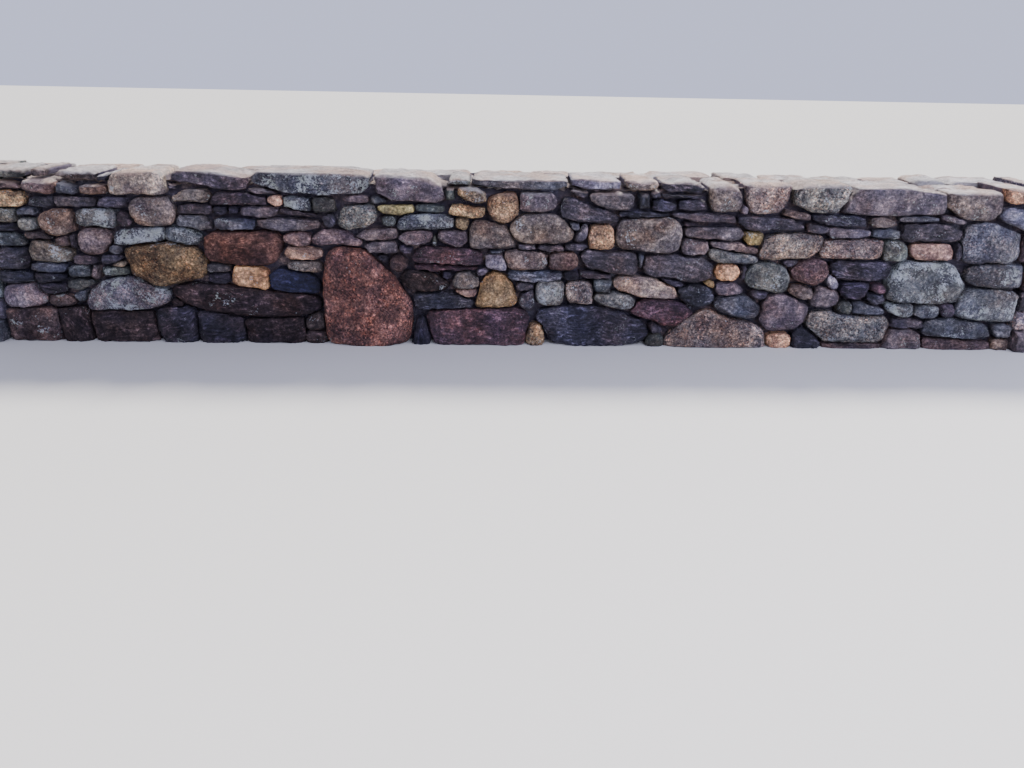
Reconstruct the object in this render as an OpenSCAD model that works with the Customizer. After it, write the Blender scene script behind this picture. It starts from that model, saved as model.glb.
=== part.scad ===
// Dry stone field wall, a straight run of about 7.5 m with both faces and both ends built.
// X runs along the wall, the seen face looks to -Y, Z is up; the origin is the middle of the foot.

/* [Wall] */
// Full length between the two end faces, mm
wall_length = 7570; // [7350:10:7800]
// Thickness at the top of the face, mm
top_thick = 650; // [560:5:760]
// Lean of each face, mm back for each mm up
lean = 0.05; // [0.02:0.005:0.09]
// Height of the top of the flat coping, mm
wall_height = 1160; // [1150:5:1200]

/* [Stones] */
// How far the seen stones reach into the wall, mm
face_depth = 380; // [320:5:420]
// How far the far-side stones reach into the wall, mm
back_depth = 200; // [160:5:230]
// Clearance taken off every stone for its dry joints, mm
joint = 3; // [1:0.5:8]
// Clearance between a stone's tail and the hearting, mm
seat = 0.2; // [0.05:0.05:0.3]
// Bulge of a small stone's face beyond the wall's plane, mm
bulge = 20; // [10:1:35]
// Extra bulge for each mm of a stone's lesser size
bulge_rate = 0.11; // [0.02:0.01:0.2]
// Size of the tail against the face of a stone
tail = 0.84; // [0.7:0.01:0.95]
// Size of the flat middle of a stone's face
crown = 0.66; // [0.4:0.01:0.8]
// Size of the tail against the face of a coping stone
cope_tail = 0.95; // [0.84:0.01:1]

/* [Far side and ends] */
// Courses on the far side below its coping
back_courses = 7; // [6:1:8]
// Shortest stone on the far side, mm
back_short = 220; // [150:5:260]
// Longest stone on the far side, mm
back_long = 600; // [380:5:640]
// Height of the coping plates on the far side, mm
plate = 72; // [50:1:90]
// Quoin courses at each end
quoin_courses = 8; // [7:1:9]
// Reach of the left end's quoins along the wall, mm
quoin_left = 192; // [150:1:196]
// Reach of the right end's quoins along the wall, mm
quoin_right = 120; // [90:1:128]
// How far the foundation quoins stand out on both sides, mm
footing = 74; // [70:1:100]

// Which piece to build

/* [Hidden] */
half_top = top_thick/2;
half_foot = half_top + lean*wall_height;
half_len = wall_length/2;
mid_x = 145;          // where the wall's middle lies on the reading grid
foot_z = 58;          // the foot below the reading grid's level
stretch = wall_length/7570;   // the wall's length and height against the grid's
raise = wall_height/1160;
crest = wall_height - plate - 8;   // top of the hearting, under the far side's coping

// Outlines of the seen stones, clockwise, [across, up] in mm on the photograph's grid, read by eye
// coping, front row
cope_cream = [[[-2600,985],[-2590,1060],[-2545,1105],[-2250,1113],[-2225,1080],[-2215,990],[-2240,968],
    [-2590,958]]];
cope_purple = [[[-2190,1062],[-2160,1110],[-2110,1125],[-1950,1120],[-1650,1092],[-1645,1050],
    [-1675,1003],[-1765,996]]];
cope_lichen = [[[-1632,1055],[-1600,1112],[-1540,1126],[-1000,1118],[-850,1105],[-845,1040],[-900,1000],
    [-1100,976],[-1405,988]]];
cope_pink = [[[-812,1005],[-812,1105],[-780,1115],[-560,1112],[-430,1098],[-355,1060],[-342,965],
    [-400,940],[-700,942]]];
cope_blue = [[[-150,1067],[-140,1100],[500,1102],[513,1085],[506,1058],[440,1038],[60,1034],[-60,1046]]];
cope_round = [[[1480,940],[1475,1065],[1510,1097],[1610,1097],[1680,1070],[1712,1010],[1690,930],
    [1590,898],[1515,905]]];
cope_granite = [[[1725,1060],[1722,1090],[1740,1098],[2030,1098],[2053,1080],[2040,1010],[1985,905],
    [1850,890],[1775,905],[1745,985]]];
cope_speckled = [[[2065,955],[2062,1065],[2120,1100],[2210,1106],[2440,1098],[2458,1070],[2436,975],
    [2370,907],[2200,912]]];
cope_smooth = [[[2422,907],[2470,1020],[2508,1086],[2830,1090],[3000,1074],[3125,1056],[3127,932],
    [3085,910],[2700,900]]];
cope_brown = [[[3140,962],[3138,1062],[3200,1070],[3500,1074],[3526,1050],[3523,960],[3490,890],
    [3400,868],[3310,872],[3200,920]]];
cope_minor = [
  [[-3438,1060],[-3438,1095],[-3370,1112],[-3165,1110],[-3150,1085],[-3160,1060]],
  [[-3082,1071],[-3074,1108],[-3060,1116],[-3010,1114],[-2998,1072]],
  [[-2935,1080],[-2910,1108],[-2700,1112],[-2668,1095],[-2668,1045],[-2790,1038],[-2905,1066]],
  [[-2655,1045],[-2655,1090],[-2580,1095],[-2603,1042]],
  [[-330,1060],[-305,1095],[-240,1106],[-165,1088],[-160,1062],[-300,1056]],
  [[520,1068],[528,1108],[860,1100],[872,1075],[860,1048],[650,1037]],
  [[892,1062],[896,1110],[1105,1100],[1122,1075],[1105,1052],[1010,1036],[940,1042]],
  [[1135,1060],[1150,1098],[1330,1106],[1400,1098],[1440,1075],[1445,1045],[1420,1031],[1180,1031]],
  [[3538,1010],[3532,1092],[3560,1096],[3790,1086],[3800,1000],[3600,980]]
];
// large stones, left half
boulder_red = [[[-1198,60],[-1200,300],[-1155,560],[-1110,630],[-1060,640],[-905,610],[-700,430],
    [-585,250],[-565,60],[-600,-58],[-1150,-58]]];
boulder_olive = [[[-2545,590],[-2480,628],[-2240,640],[-2070,615],[-2005,500],[-2010,420],[-2130,372],
    [-2380,352],[-2500,420]]];
boulder_pale = [[[-2862,200],[-2850,290],[-2740,370],[-2610,402],[-2520,392],[-2400,342],[-2298,285],
    [-2300,215],[-2430,172],[-2840,165]]];
slab_rust = [[[-1980,530],[-1990,690],[-1900,722],[-1600,732],[-1510,715],[-1455,660],[-1525,530],
    [-1600,498],[-1880,505]]];
slab_dark = [[[-2250,290],[-2230,345],[-2100,358],[-1845,345],[-1330,290],[-1215,230],[-1225,190],
    [-1330,135],[-1700,125],[-2120,195]]];
slab_blueblack = [[[-1568,335],[-1565,435],[-1500,472],[-1290,440],[-1215,345],[-1235,310],[-1300,300],
    [-1540,322]]];
block_ochre = [[[-1825,365],[-1808,482],[-1600,470],[-1576,450],[-1578,335],[-1600,323],[-1750,342]]];
// smaller stones, left half, from the foot up
left_a = [
  [[-3440,215],[-3430,270],[-3400,322],[-3340,340],[-3220,342],[-3130,255],[-3140,215],[-3220,180],
    [-3400,178]],
  [[-3116,215],[-3110,262],[-3000,268],[-2940,230],[-2960,200],[-3080,190]],
  [[-2925,260],[-2915,292],[-2855,310],[-2872,240],[-2890,228]],
  [[-2262,205],[-2260,240],[-2225,235],[-2190,210],[-2200,200]],
  [[-1335,60],[-1330,110],[-1265,150],[-1212,160],[-1208,60],[-1225,35],[-1320,35]],
  [[-3440,-58],[-3438,165],[-3090,172],[-3060,-58]],
  [[-3050,-58],[-3080,178],[-2880,185],[-2850,-58]],
  [[-2840,-58],[-2850,152],[-2420,155],[-2380,-58]],
  [[-2370,-58],[-2400,158],[-2275,192],[-2130,185],[-2110,150],[-2110,-58]],
  [[-2100,-58],[-2105,168],[-1780,108],[-1770,-58]],
  [[-1760,-58],[-1765,108],[-1360,118],[-1350,-58]],
  [[-1340,-58],[-1338,26],[-1215,26],[-1190,-58]],
  [[-588,-58],[-553,60],[-535,120],[-500,142],[-476,100],[-445,-58]]
];
left_b = [
  [[-3438,350],[-3434,430],[-3330,440],[-3205,430],[-3200,356]],
  [[-3190,362],[-3190,420],[-3150,426],[-2985,415],[-2982,385],[-3060,358]],
  [[-3180,310],[-3175,346],[-3060,350],[-2985,330],[-2990,295],[-3090,282],[-3125,288]],
  [[-2972,320],[-2968,370],[-2900,388],[-2800,372],[-2790,350],[-2880,306]],
  [[-1990,372],[-1988,430],[-1850,436],[-1836,372]],
  [[-550,205],[-558,310],[-300,308],[-190,272],[-145,255],[-150,205],[-480,195]],
  [[-625,390],[-640,430],[-600,465],[-460,460],[-380,420],[-310,370],[-420,325],[-500,325],[-600,350]],
  [[-280,360],[-285,400],[-262,455],[-180,462],[-110,430],[-105,370],[-140,348],[-250,345]],
  [[-270,328],[-262,340],[-120,342],[-112,315],[-140,290],[-180,288]],
  [[-130,220],[-85,390],[-50,445],[10,468],[80,445],[120,400],[165,275],[145,240],[100,218],[-100,212]]
];
left_c = [
  [[-3438,448],[-3438,560],[-3350,600],[-3215,600],[-3212,500],[-3240,448]],
  [[-3202,436],[-3200,485],[-3140,495],[-2975,480],[-2970,436]],
  [[-2952,420],[-2942,462],[-2900,478],[-2815,474],[-2795,440],[-2815,400],[-2930,396]],
  [[-2785,385],[-2780,470],[-2742,475],[-2735,392]],
  [[-2725,425],[-2715,466],[-2600,474],[-2545,455],[-2540,425],[-2640,410]],
  [[-2905,495],[-2903,540],[-2860,550],[-2760,535],[-2745,495]],
  [[-2712,505],[-2700,545],[-2640,560],[-2570,540],[-2570,525],[-2660,492]],
  [[-2660,478],[-2640,490],[-2555,515],[-2545,495],[-2560,482]],
  [[-1992,445],[-1985,492],[-1930,500],[-1845,485],[-1840,450]],
  [[-1432,478],[-1428,512],[-1400,522],[-1230,528],[-1205,490],[-1225,456],[-1340,455]],
  [[-550,490],[-545,515],[-400,512],[-110,500],[-130,482],[-420,478]],
  [[-730,500],[-725,545],[-690,575],[-645,572],[-605,520],[-620,490],[-670,470]],
  [[-345,432],[-350,470],[-300,470],[-290,440]],
  [[-118,448],[-108,488],[-60,492],[-30,480],[-75,440]]
];
left_d = [
  [[-3438,612],[-3434,680],[-3350,692],[-3220,650],[-3205,612]],
  [[-3200,585],[-3170,642],[-3110,652],[-2960,600],[-2905,572],[-2912,520],[-2960,502],[-3180,510]],
  [[-3205,672],[-3200,700],[-3110,705],[-3060,692],[-3025,665],[-3035,656],[-3100,661]],
  [[-3004,655],[-2965,677],[-2915,674],[-2910,612],[-2970,612]],
  [[-2900,605],[-2900,690],[-2860,700],[-2862,600]],
  [[-2850,640],[-2835,700],[-2800,734],[-2690,735],[-2625,685],[-2640,630],[-2700,568],[-2760,555],
    [-2830,580]],
  [[-2608,635],[-2590,695],[-2540,728],[-2290,745],[-2264,742],[-2262,665],[-2400,640],[-2560,628]],
  [[-2635,568],[-2640,612],[-2620,622],[-2575,618],[-2568,565]],
  [[-2250,660],[-2248,742],[-2200,750],[-2110,745],[-2040,720],[-2003,690],[-2045,632],[-2150,640]],
  [[-1435,575],[-1433,610],[-1410,626],[-1215,600],[-1200,580],[-1215,548],[-1250,542],[-1390,548]],
  [[-1440,660],[-1445,695],[-1390,715],[-1320,726],[-1280,722],[-1262,690],[-1270,640],[-1360,632]],
  [[-1255,655],[-1250,700],[-1150,742],[-1050,738],[-960,695],[-915,672],[-915,655],[-960,640],[-1060,645]],
  [[-950,702],[-900,735],[-800,758],[-680,765],[-675,705],[-700,690],[-860,684]],
  [[-895,630],[-890,650],[-850,665],[-680,672],[-665,640],[-670,600],[-700,590],[-860,605]],
  [[-650,690],[-645,715],[-600,742],[-480,755],[-430,735],[-425,700],[-440,680],[-500,662],[-600,648]],
  [[-415,650],[-418,690],[-405,722],[-398,722],[-398,655]],
  [[-388,700],[-390,740],[-370,755],[-200,750],[-182,730],[-180,680],[-215,645],[-290,640]],
  [[-562,560],[-558,600],[-500,640],[-180,632],[-90,600],[-75,560],[-100,525],[-200,512],[-540,525]],
  [[-655,625],[-655,640],[-640,655],[-570,632],[-568,600],[-620,600]],
  [[-172,640],[-165,780],[-140,830],[-60,832],[80,790],[130,710],[155,665],[140,638],[-100,625]],
  [[-45,500],[-55,590],[60,592],[90,500],[80,480]],
  [[-793,545],[-795,565],[-770,585],[-740,585],[-738,530]]
];
left_e = [
  [[-3438,712],[-3434,755],[-3350,760],[-3245,756],[-3240,716]],
  [[-3438,765],[-3434,845],[-3350,862],[-3240,852],[-3235,768]],
  [[-3230,728],[-3232,795],[-3200,805],[-3118,796],[-3112,728],[-3160,716]],
  [[-3230,812],[-3232,855],[-3190,866],[-3110,860],[-3100,815]],
  [[-3100,745],[-3100,800],[-3070,838],[-2990,862],[-2870,862],[-2858,800],[-2868,712],[-2930,690],
    [-3040,686]],
  [[-2850,770],[-2848,830],[-2810,862],[-2700,868],[-2600,866],[-2570,845],[-2570,770],[-2600,745],
    [-2800,752]],
  [[-2560,765],[-2558,840],[-2540,852],[-2490,835],[-2470,790],[-2480,760],[-2540,755]],
  [[-2476,850],[-2473,905],[-2438,949],[-2380,955],[-2210,956],[-2190,920],[-2170,845],[-2200,765],
    [-2340,750],[-2440,774],[-2463,808]],
  [[-2158,762],[-2160,800],[-2130,832],[-1985,832],[-1950,800],[-1930,755],[-1950,742],[-2080,752]],
  [[-1908,755],[-1908,810],[-1880,824],[-1700,816],[-1640,800],[-1632,765],[-1650,736],[-1860,734]],
  [[-1625,765],[-1612,812],[-1540,820],[-1320,826],[-1210,820],[-1180,790],[-1200,760],[-1330,742],
    [-1520,740]],
  [[-1165,780],[-1165,835],[-1145,856],[-1105,850],[-1098,800],[-1100,775]],
  [[-1062,780],[-1040,880],[-1030,910],[-900,922],[-820,920],[-790,850],[-820,800],[-880,762],[-980,756]],
  [[-770,785],[-775,835],[-740,848],[-680,840],[-672,800],[-690,780]],
  [[-668,770],[-660,815],[-580,860],[-480,868],[-330,858],[-275,830],[-272,788],[-300,768],[-480,758],
    [-655,754]],
  [[-263,780],[-262,830],[-240,842],[-185,838],[-170,815],[-182,770],[-230,760]],
  [[-310,885],[-298,935],[-240,936],[-60,912],[-70,850],[-110,840],[-290,860]]
];
left_f = [
  [[-3438,875],[-3438,975],[-3290,984],[-3175,978],[-3145,925],[-3180,880],[-3300,868]],
  [[-3438,992],[-3434,1048],[-3300,1050],[-3190,1030],[-3182,992]],
  [[-3135,880],[-3130,935],[-3100,950],[-2980,945],[-2972,880]],
  [[-3165,985],[-3165,1040],[-3110,1068],[-3000,1062],[-2945,1040],[-2940,1000],[-2975,960],[-3130,962]],
  [[-2935,965],[-2930,1050],[-2880,1040],[-2805,1010],[-2795,965]],
  [[-2963,882],[-2960,950],[-2700,948],[-2680,930],[-2705,882]],
  [[-2780,970],[-2785,1020],[-2745,1030],[-2615,1030],[-2608,960],[-2755,956]],
  [[-2690,882],[-2665,930],[-2630,948],[-2500,945],[-2485,925],[-2500,885],[-2560,872]],
  [[-2200,1015],[-2195,1050],[-2120,1038],[-2118,1010],[-2180,1005]],
  [[-2185,918],[-2170,958],[-2105,1000],[-1960,1002],[-1930,960],[-1955,918]],
  [[-2155,848],[-2130,895],[-2090,906],[-1930,900],[-1920,860],[-1950,842]],
  [[-1908,850],[-1905,892],[-1830,888],[-1810,860],[-1830,842]],
  [[-1912,905],[-1900,950],[-1850,988],[-1680,992],[-1545,965],[-1550,905]],
  [[-1800,848],[-1795,892],[-1745,890],[-1735,850]],
  [[-1725,835],[-1722,885],[-1640,892],[-1490,888],[-1470,870],[-1500,835],[-1560,822]],
  [[-1655,998],[-1660,1018],[-1620,1024],[-1470,985],[-1560,978]],
  [[-1530,940],[-1525,970],[-1460,970],[-1440,930],[-1445,912],[-1490,910]],
  [[-1455,860],[-1450,888],[-1410,890],[-1205,845],[-1215,832],[-1260,832]],
  [[-1425,900],[-1428,965],[-1330,970],[-1250,958],[-1240,870],[-1260,866]],
  [[-1230,865],[-1232,960],[-1150,965],[-1085,958],[-1080,868]],
  [[-1030,935],[-1025,970],[-990,978],[-860,968],[-850,935]],
  [[-838,932],[-835,975],[-780,978],[-720,942],[-740,930]],
  [[-785,880],[-790,908],[-770,922],[-560,928],[-545,905],[-550,874],[-640,862],[-760,860]],
  [[-535,880],[-530,925],[-420,928],[-350,918],[-340,880],[-480,875]],
  [[-328,955],[-333,1045],[-266,1048],[-260,955]],
  [[-252,1000],[-250,1045],[-220,1053],[-110,1048],[-55,1010],[-62,950],[-100,936],[-200,950]],
  [[-45,900],[-35,980],[60,1015],[110,1022],[155,1010],[168,950],[166,880],[118,832],[60,806],[0,820]]
];
// large stones, right half
slab_red = [[[-465,110],[-462,160],[-430,185],[-100,205],[160,208],[230,185],[250,110],[220,-58],
    [-420,-58]]];
slab_blue = [[[325,160],[335,200],[560,240],[760,225],[1080,130],[1130,60],[1090,10],[1000,-58],
    [450,-58],[390,10]]];
boulder_pink = [[[1250,-58],[1270,0],[1345,85],[1450,165],[1520,200],[1600,193],[1840,120],[1950,75],
    [1985,10],[1985,-58]]];
boulder_lichen = [[[2825,330],[2822,430],[2850,520],[2930,584],[3230,578],[3320,500],[3365,420],
    [3345,300],[3250,285],[2850,290]]];
block_brown = [[[666,640],[660,720],[668,800],[690,812],[810,812],[835,790],[835,645],[815,632],[740,632]]];
boulder_tan = [[[848,700],[852,790],[890,848],[1100,862],[1240,858],[1300,810],[1312,720],[1300,645],
    [1080,618],[890,640]]];
boulder_grey = [[[125,760],[150,835],[200,866],[330,873],[445,862],[515,790],[555,740],[525,692],
    [420,674],[180,677]]];
boulder_slate = [[[1050,520],[1080,592],[1250,600],[1470,592],[1540,520],[1545,460],[1490,424],
    [1340,424],[1120,462]]];
// smaller stones, right half, from the foot up
right_a = [
  [[250,-20],[252,45],[270,78],[310,92],[350,75],[374,20],[370,-58],[255,-58]],
  [[1110,-58],[1145,15],[1225,22],[1238,-10],[1232,-58]],
  [[1140,80],[1165,115],[1195,90],[1235,55],[1150,35]],
  [[1000,190],[1040,262],[1130,292],[1290,272],[1380,245],[1435,190],[1430,175],[1320,90],[1230,100]],
  [[1930,170],[1945,250],[1980,300],[2080,322],[2180,302],[2262,225],[2265,140],[2230,95],[2040,62],
    [1960,95]],
  [[2275,120],[2278,160],[2310,195],[2400,200],[2600,190],[2840,175],[2888,130],[2878,0],[2840,-18],
    [2420,-15]],
  [[2010,-40],[2005,10],[2060,35],[2160,40],[2180,10],[2175,-58],[2025,-58]],
  [[2190,-58],[2190,60],[2225,82],[2265,85],[2400,-20],[2405,-58]],
  [[2420,-58],[2425,-25],[2840,-27],[2850,-58]],
  [[2860,-58],[2898,40],[2920,85],[3050,90],[3130,40],[3150,-58]],
  [[2900,100],[2905,162],[3120,158],[3132,100],[3040,96]],
  [[3145,60],[3148,130],[3200,158],[3330,165],[3560,125],[3640,80],[3650,35],[3540,10],[3280,30]],
  [[3165,-58],[3168,15],[3290,20],[3540,0],[3660,-15],[3670,-58]],
  [[3655,85],[3660,120],[3800,118],[3800,32],[3705,30]],
  [[3685,-58],[3690,20],[3798,22],[3800,-58]],
  [[3355,185],[3352,280],[3385,345],[3440,376],[3540,384],[3740,378],[3800,350],[3800,140],[3660,132],
    [3500,168],[3400,172]]
];
right_b = [
  [[190,245],[200,295],[225,325],[288,342],[292,255],[275,220],[220,215]],
  [[170,355],[168,385],[200,395],[285,388],[292,362],[225,338]],
  [[300,290],[300,360],[320,395],[420,402],[500,395],[495,250],[470,236],[370,236],[330,250]],
  [[525,300],[528,390],[560,408],[640,405],[695,390],[705,350],[698,245],[620,245],[545,265]],
  [[718,375],[712,420],[760,425],[840,425],[845,400],[820,335],[735,328]],
  [[730,280],[735,320],[820,330],[960,310],[1015,295],[1005,240],[960,215],[840,232]],
  [[855,390],[860,420],[890,440],[1010,442],[1180,420],[1290,368],[1318,315],[1300,290],[1140,298],
    [1040,305],[940,345]],
  [[1185,432],[1200,444],[1332,410],[1358,388],[1310,375]],
  [[1318,330],[1325,365],[1400,388],[1500,392],[1570,360],[1580,310],[1550,260],[1480,242],[1410,245]],
  [[1500,405],[1510,418],[1560,415],[1572,395],[1570,375],[1540,385]],
  [[1582,350],[1590,410],[1680,412],[1730,402],[1788,352],[1770,336],[1700,328],[1620,328]],
  [[1585,262],[1620,300],[1700,318],[1790,328],[1840,305],[1918,235],[1922,190],[1890,168],[1750,165],
    [1650,200]],
  [[1838,335],[1850,358],[1890,362],[1960,350],[1965,332],[1925,305],[1880,310]],
  [[2135,350],[2130,390],[2190,400],[2260,385],[2298,340],[2285,310],[2240,302],[2190,312]],
  [[2295,280],[2320,380],[2360,385],[2470,360],[2485,300],[2460,262],[2380,255],[2310,258]],
  [[2490,200],[2490,280],[2560,280],[2590,240],[2580,195]],
  [[2600,205],[2602,285],[2640,284],[2700,268],[2790,240],[2840,205],[2800,192],[2640,193]],
  [[2690,310],[2683,342],[2700,352],[2810,335],[2815,285],[2770,268],[2720,280]],
  [[2850,240],[2840,270],[2890,280],[3040,270],[3045,175],[2960,175]],
  [[3055,190],[3057,250],[3130,264],[3220,258],[3232,200],[3215,172],[3150,166]],
  [[3242,215],[3240,268],[3320,276],[3344,240],[3340,182],[3290,180]],
  [[2495,345],[2500,425],[2690,425],[2700,400],[2670,330],[2640,310],[2540,320]],
  [[2705,372],[2706,408],[2730,415],[2790,402],[2815,370],[2812,352],[2760,350]]
];
right_c = [
  [[105,425],[108,470],[130,478],[480,472],[492,450],[470,425],[330,408],[140,408]],
  [[500,430],[500,470],[540,478],[600,475],[600,425],[540,420]],
  [[612,450],[612,482],[680,478],[830,455],[835,438],[720,436]],
  [[85,560],[80,615],[120,622],[340,612],[375,590],[372,530],[345,490],[290,480],[110,492]],
  [[395,500],[395,600],[430,608],[560,615],[578,590],[580,520],[555,492],[470,485]],
  [[625,575],[630,620],[700,628],[980,612],[1010,585],[1020,480],[1000,460],[840,468],[700,495]],
  [[1025,520],[1022,590],[1050,600],[1055,560],[1042,515]],
  [[1585,490],[1600,530],[1650,550],[1700,545],[1745,520],[1750,480],[1720,440],[1650,425],[1600,440]],
  [[1785,440],[1800,495],[1850,532],[1960,545],[2060,520],[2095,480],[2107,420],[2090,362],[2040,340],
    [1835,380]],
  [[2112,500],[2130,540],[2200,575],[2290,592],[2355,560],[2388,510],[2370,450],[2310,405],[2240,405],
    [2150,450]],
  [[2407,500],[2402,555],[2430,578],[2500,584],[2800,565],[2822,535],[2808,460],[2700,440],[2500,445],
    [2450,458]],
  [[2375,440],[2380,470],[2400,475],[2440,450],[2468,400],[2460,378],[2420,378]],
  [[1762,432],[1755,500],[1765,530],[1785,528],[1778,436]],
  [[3385,470],[3400,520],[3500,560],[3770,565],[3790,520],[3790,400],[3600,398],[3470,420]]
];
right_d = [
  [[-20,612],[-18,618],[60,618],[60,604],[-15,600]],
  [[180,632],[172,660],[200,666],[290,655],[295,630]],
  [[300,640],[330,664],[430,665],[490,650],[485,625],[400,620]],
  [[498,628],[500,662],[560,672],[655,672],[660,650],[600,630]],
  [[560,695],[580,740],[612,795],[640,820],[652,780],[645,735],[620,708],[585,692]],
  [[530,802],[540,815],[585,812],[590,790],[570,765]],
  [[1325,640],[1322,690],[1345,715],[1500,700],[1508,640],[1480,615],[1420,608],[1345,612]],
  [[1338,740],[1345,790],[1380,802],[1640,808],[1700,795],[1735,760],[1730,735],[1650,715],[1420,728]],
  [[1520,682],[1518,702],[1580,698],[1740,678],[1840,658],[1858,635],[1840,625],[1720,635],[1580,660]],
  [[1520,610],[1520,645],[1560,650],[1700,628],[1790,610],[1850,588],[1852,568],[1800,554],[1620,556]],
  [[1755,720],[1758,778],[1872,772],[1884,755],[1870,682],[1780,690]],
  [[1872,615],[1895,722],[2000,758],[2200,765],[2290,752],[2305,720],[2275,630],[2240,594],[1900,587]],
  [[2064,555],[2065,576],[2100,583],[2160,575],[2115,545],[2085,540]],
  [[2306,640],[2318,715],[2400,728],[2700,735],[2732,720],[2738,625],[2715,602],[2560,592],[2330,605]],
  [[2748,640],[2755,715],[2780,724],[2870,720],[2910,680],[2915,600],[2880,588],[2760,590]],
  [[2945,670],[2955,705],[3000,708],[3200,704],[3240,670],[3255,615],[3230,600],[3100,596],[2990,605]],
  [[3325,600],[3300,700],[3320,830],[3390,858],[3500,860],[3700,790],[3715,600],[3680,585],[3350,585]],
  [[3265,600],[3262,700],[3285,715],[3300,640],[3300,600]],
  [[3725,600],[3725,770],[3745,790],[3800,785],[3800,600]]
];
right_e = [
  [[466,850],[466,915],[472,982],[560,987],[645,957],[852,866],[857,828],[840,820],[700,820],[560,832]],
  [[660,975],[655,1008],[700,1030],[860,1034],[940,1025],[973,985],[963,930],[930,908],[860,906],
    [775,915],[700,940]],
  [[180,905],[175,1000],[190,1020],[300,1025],[400,1022],[435,980],[430,920],[400,898],[210,895]],
  [[515,1030],[525,1052],[640,1028],[640,1000],[600,992]],
  [[988,918],[990,1022],[1060,1026],[1070,990],[1076,918]],
  [[872,872],[870,896],[980,900],[1200,896],[1215,880],[1130,872],[980,868]],
  [[1075,1005],[1080,1028],[1130,1045],[1140,1005],[1120,992]],
  [[1085,905],[1085,985],[1160,988],[1250,950],[1260,920],[1230,902]],
  [[1150,998],[1155,1024],[1420,1022],[1425,998]],
  [[1270,925],[1272,988],[1440,990],[1468,960],[1468,920],[1380,915]],
  [[1232,880],[1240,896],[1480,892],[1600,880],[1680,860],[1685,840],[1650,828],[1500,828],[1400,832]],
  [[1325,818],[1326,836],[1385,822],[1390,812],[1340,812]],
  [[1695,845],[1698,875],[1740,884],[2060,868],[2160,830],[2175,790],[2100,776],[1800,782]],
  [[2005,890],[2015,940],[2060,930],[2190,895],[2198,870],[2190,862],[2100,872]],
  [[2210,865],[2215,896],[2500,898],[2580,870],[2600,830],[2590,815],[2330,822]],
  [[2190,790],[2192,825],[2220,830],[2335,815],[2330,775],[2210,775]],
  [[2345,760],[2350,805],[2390,812],[2620,805],[2640,785],[2630,755],[2560,742],[2370,740]],
  [[2625,840],[2630,880],[2700,880],[2790,852],[2815,838],[2740,816],[2645,815]],
  [[2650,745],[2650,800],[2740,806],[2810,808],[2845,800],[2845,748],[2820,738]],
  [[2830,862],[2835,886],[2960,896],[3060,896],[3100,888],[3095,870],[3000,858]],
  [[2860,745],[2858,835],[2880,846],[3060,850],[3180,845],[3285,800],[3275,735],[3240,722],[2900,725]],
  [[3110,890],[3125,908],[3165,900],[3300,862],[3300,848],[3250,850]],
  [[3530,905],[3535,955],[3600,970],[3780,965],[3800,930],[3800,808],[3730,800],[3600,850]],
  [[1716,903],[1712,930],[1722,946],[1738,944],[1742,912]]
];

// Repeatable scatter from 0 to 1, and a value between two limits by it
function rnd(i, j) = let (v = sin(i*127.1 + j*311.7)*43758.5453) v - floor(v);
function pick(a, b, i, j) = a + (b - a)*rnd(i, j);
// Thickness from the middle plane to either face at a height
function half_at(z) = half_foot - lean*z;
// Extent of an outline, and the point it shrinks about: its middle, or its foot where it stands on the ground
function span(p, k) = max([for (q = p) q[k]]) - min([for (q = p) q[k]]);
function mean(p, k) = ([for (q = p) 1]*[for (q = p) q[k]])/len(p);
function anchor(p) = [mean(p, 0), abs(min([for (q = p) q[1]])) < 0.01 ? 0 : mean(p, 1)];
// A reading on the photograph's grid carried to the wall's own size
function placed(p) = [for (q = p) [(q[0] - mid_x)*stretch, (q[1] + foot_z)*raise]];
// An outline less its joints
function dressed(p) = let (c = anchor(p), kx = 1 - joint/span(p, 0), kz = 1 - joint/span(p, 1))
  [for (q = p) [c[0] + (q[0] - c[0])*kx, c[1] + (q[1] - c[1])*kz]];
// A rule-made outline between two ends and two beds, clockwise, its corners set by the scatter
function block(x0, x1, z0, z1, i, j) = let (w = x1 - x0, h = z1 - z0, s = 20*i + 7,
  a = pick(0.05, 0.2, s, j), b = pick(0.15, 0.5, s + 1, j), c = pick(0.05, 0.2, s + 2, j),
  d = pick(0.45, 0.8, s + 3, j), e = pick(0, 0.04, s + 4, j), g = pick(0, 0.09, s + 5, j),
  k = z0 == 0 ? 0 : pick(0, 0.09, s + 6, j))
  [[x0 + e*w, z0 + k*h], [x0, z0 + b*h + k*h], [x0 + c*w, z1],
    [x1 - a*w, z1 - g*h], [x1, z0 + d*h], [x1 - 0.6*a*w, z0]];
// Where the cross joints of a rule-made course fall between two ends
function cuts(a, b, short, long, j) = concat([for (i = 0, x = a; x < b - 1.3*short;
  x = x + pick(short, long, i, j), i = i + 1) x], [b]);

// One stone from its outline [across, up]: rings of [size, reach in from the face plane, share of its
// lean], the last one its tail; the face plane stands at -half at the foot and leans back by slope
module stone(p, rings, half, slope = lean) {
  n = len(p);
  c = anchor(p);
  polyhedron([for (r = rings) let (share = len(r) > 2 ? r[2] : 1)
      for (q = p) let (z = c[1] + (q[1] - c[1])*r[0])
        [c[0] + (q[0] - c[0])*r[0], -half + slope*share*z + r[1], z]],
    concat([[for (i = [0:n - 1]) i]],
      [for (k = [0:len(rings) - 2]) for (i = [0:n - 1]) let (t = (i + 1) % n)
        [k*n + i, (k + 1)*n + i, (k + 1)*n + t, k*n + t]],
      [[for (i = [n - 1:-1:0]) (len(rings) - 1)*n + i]]));
}
// A stone of either face: proud by its size, its tail against the hearting
module face_stone(p, depth, puff = 1, thin = tail) {
  q = dressed(p);
  b = (bulge + bulge_rate*min(span(q, 0), span(q, 1)))*puff;
  stone(q, [[crown, -b], [1, 0], [thin, depth - seat]], half_foot);
}
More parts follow.
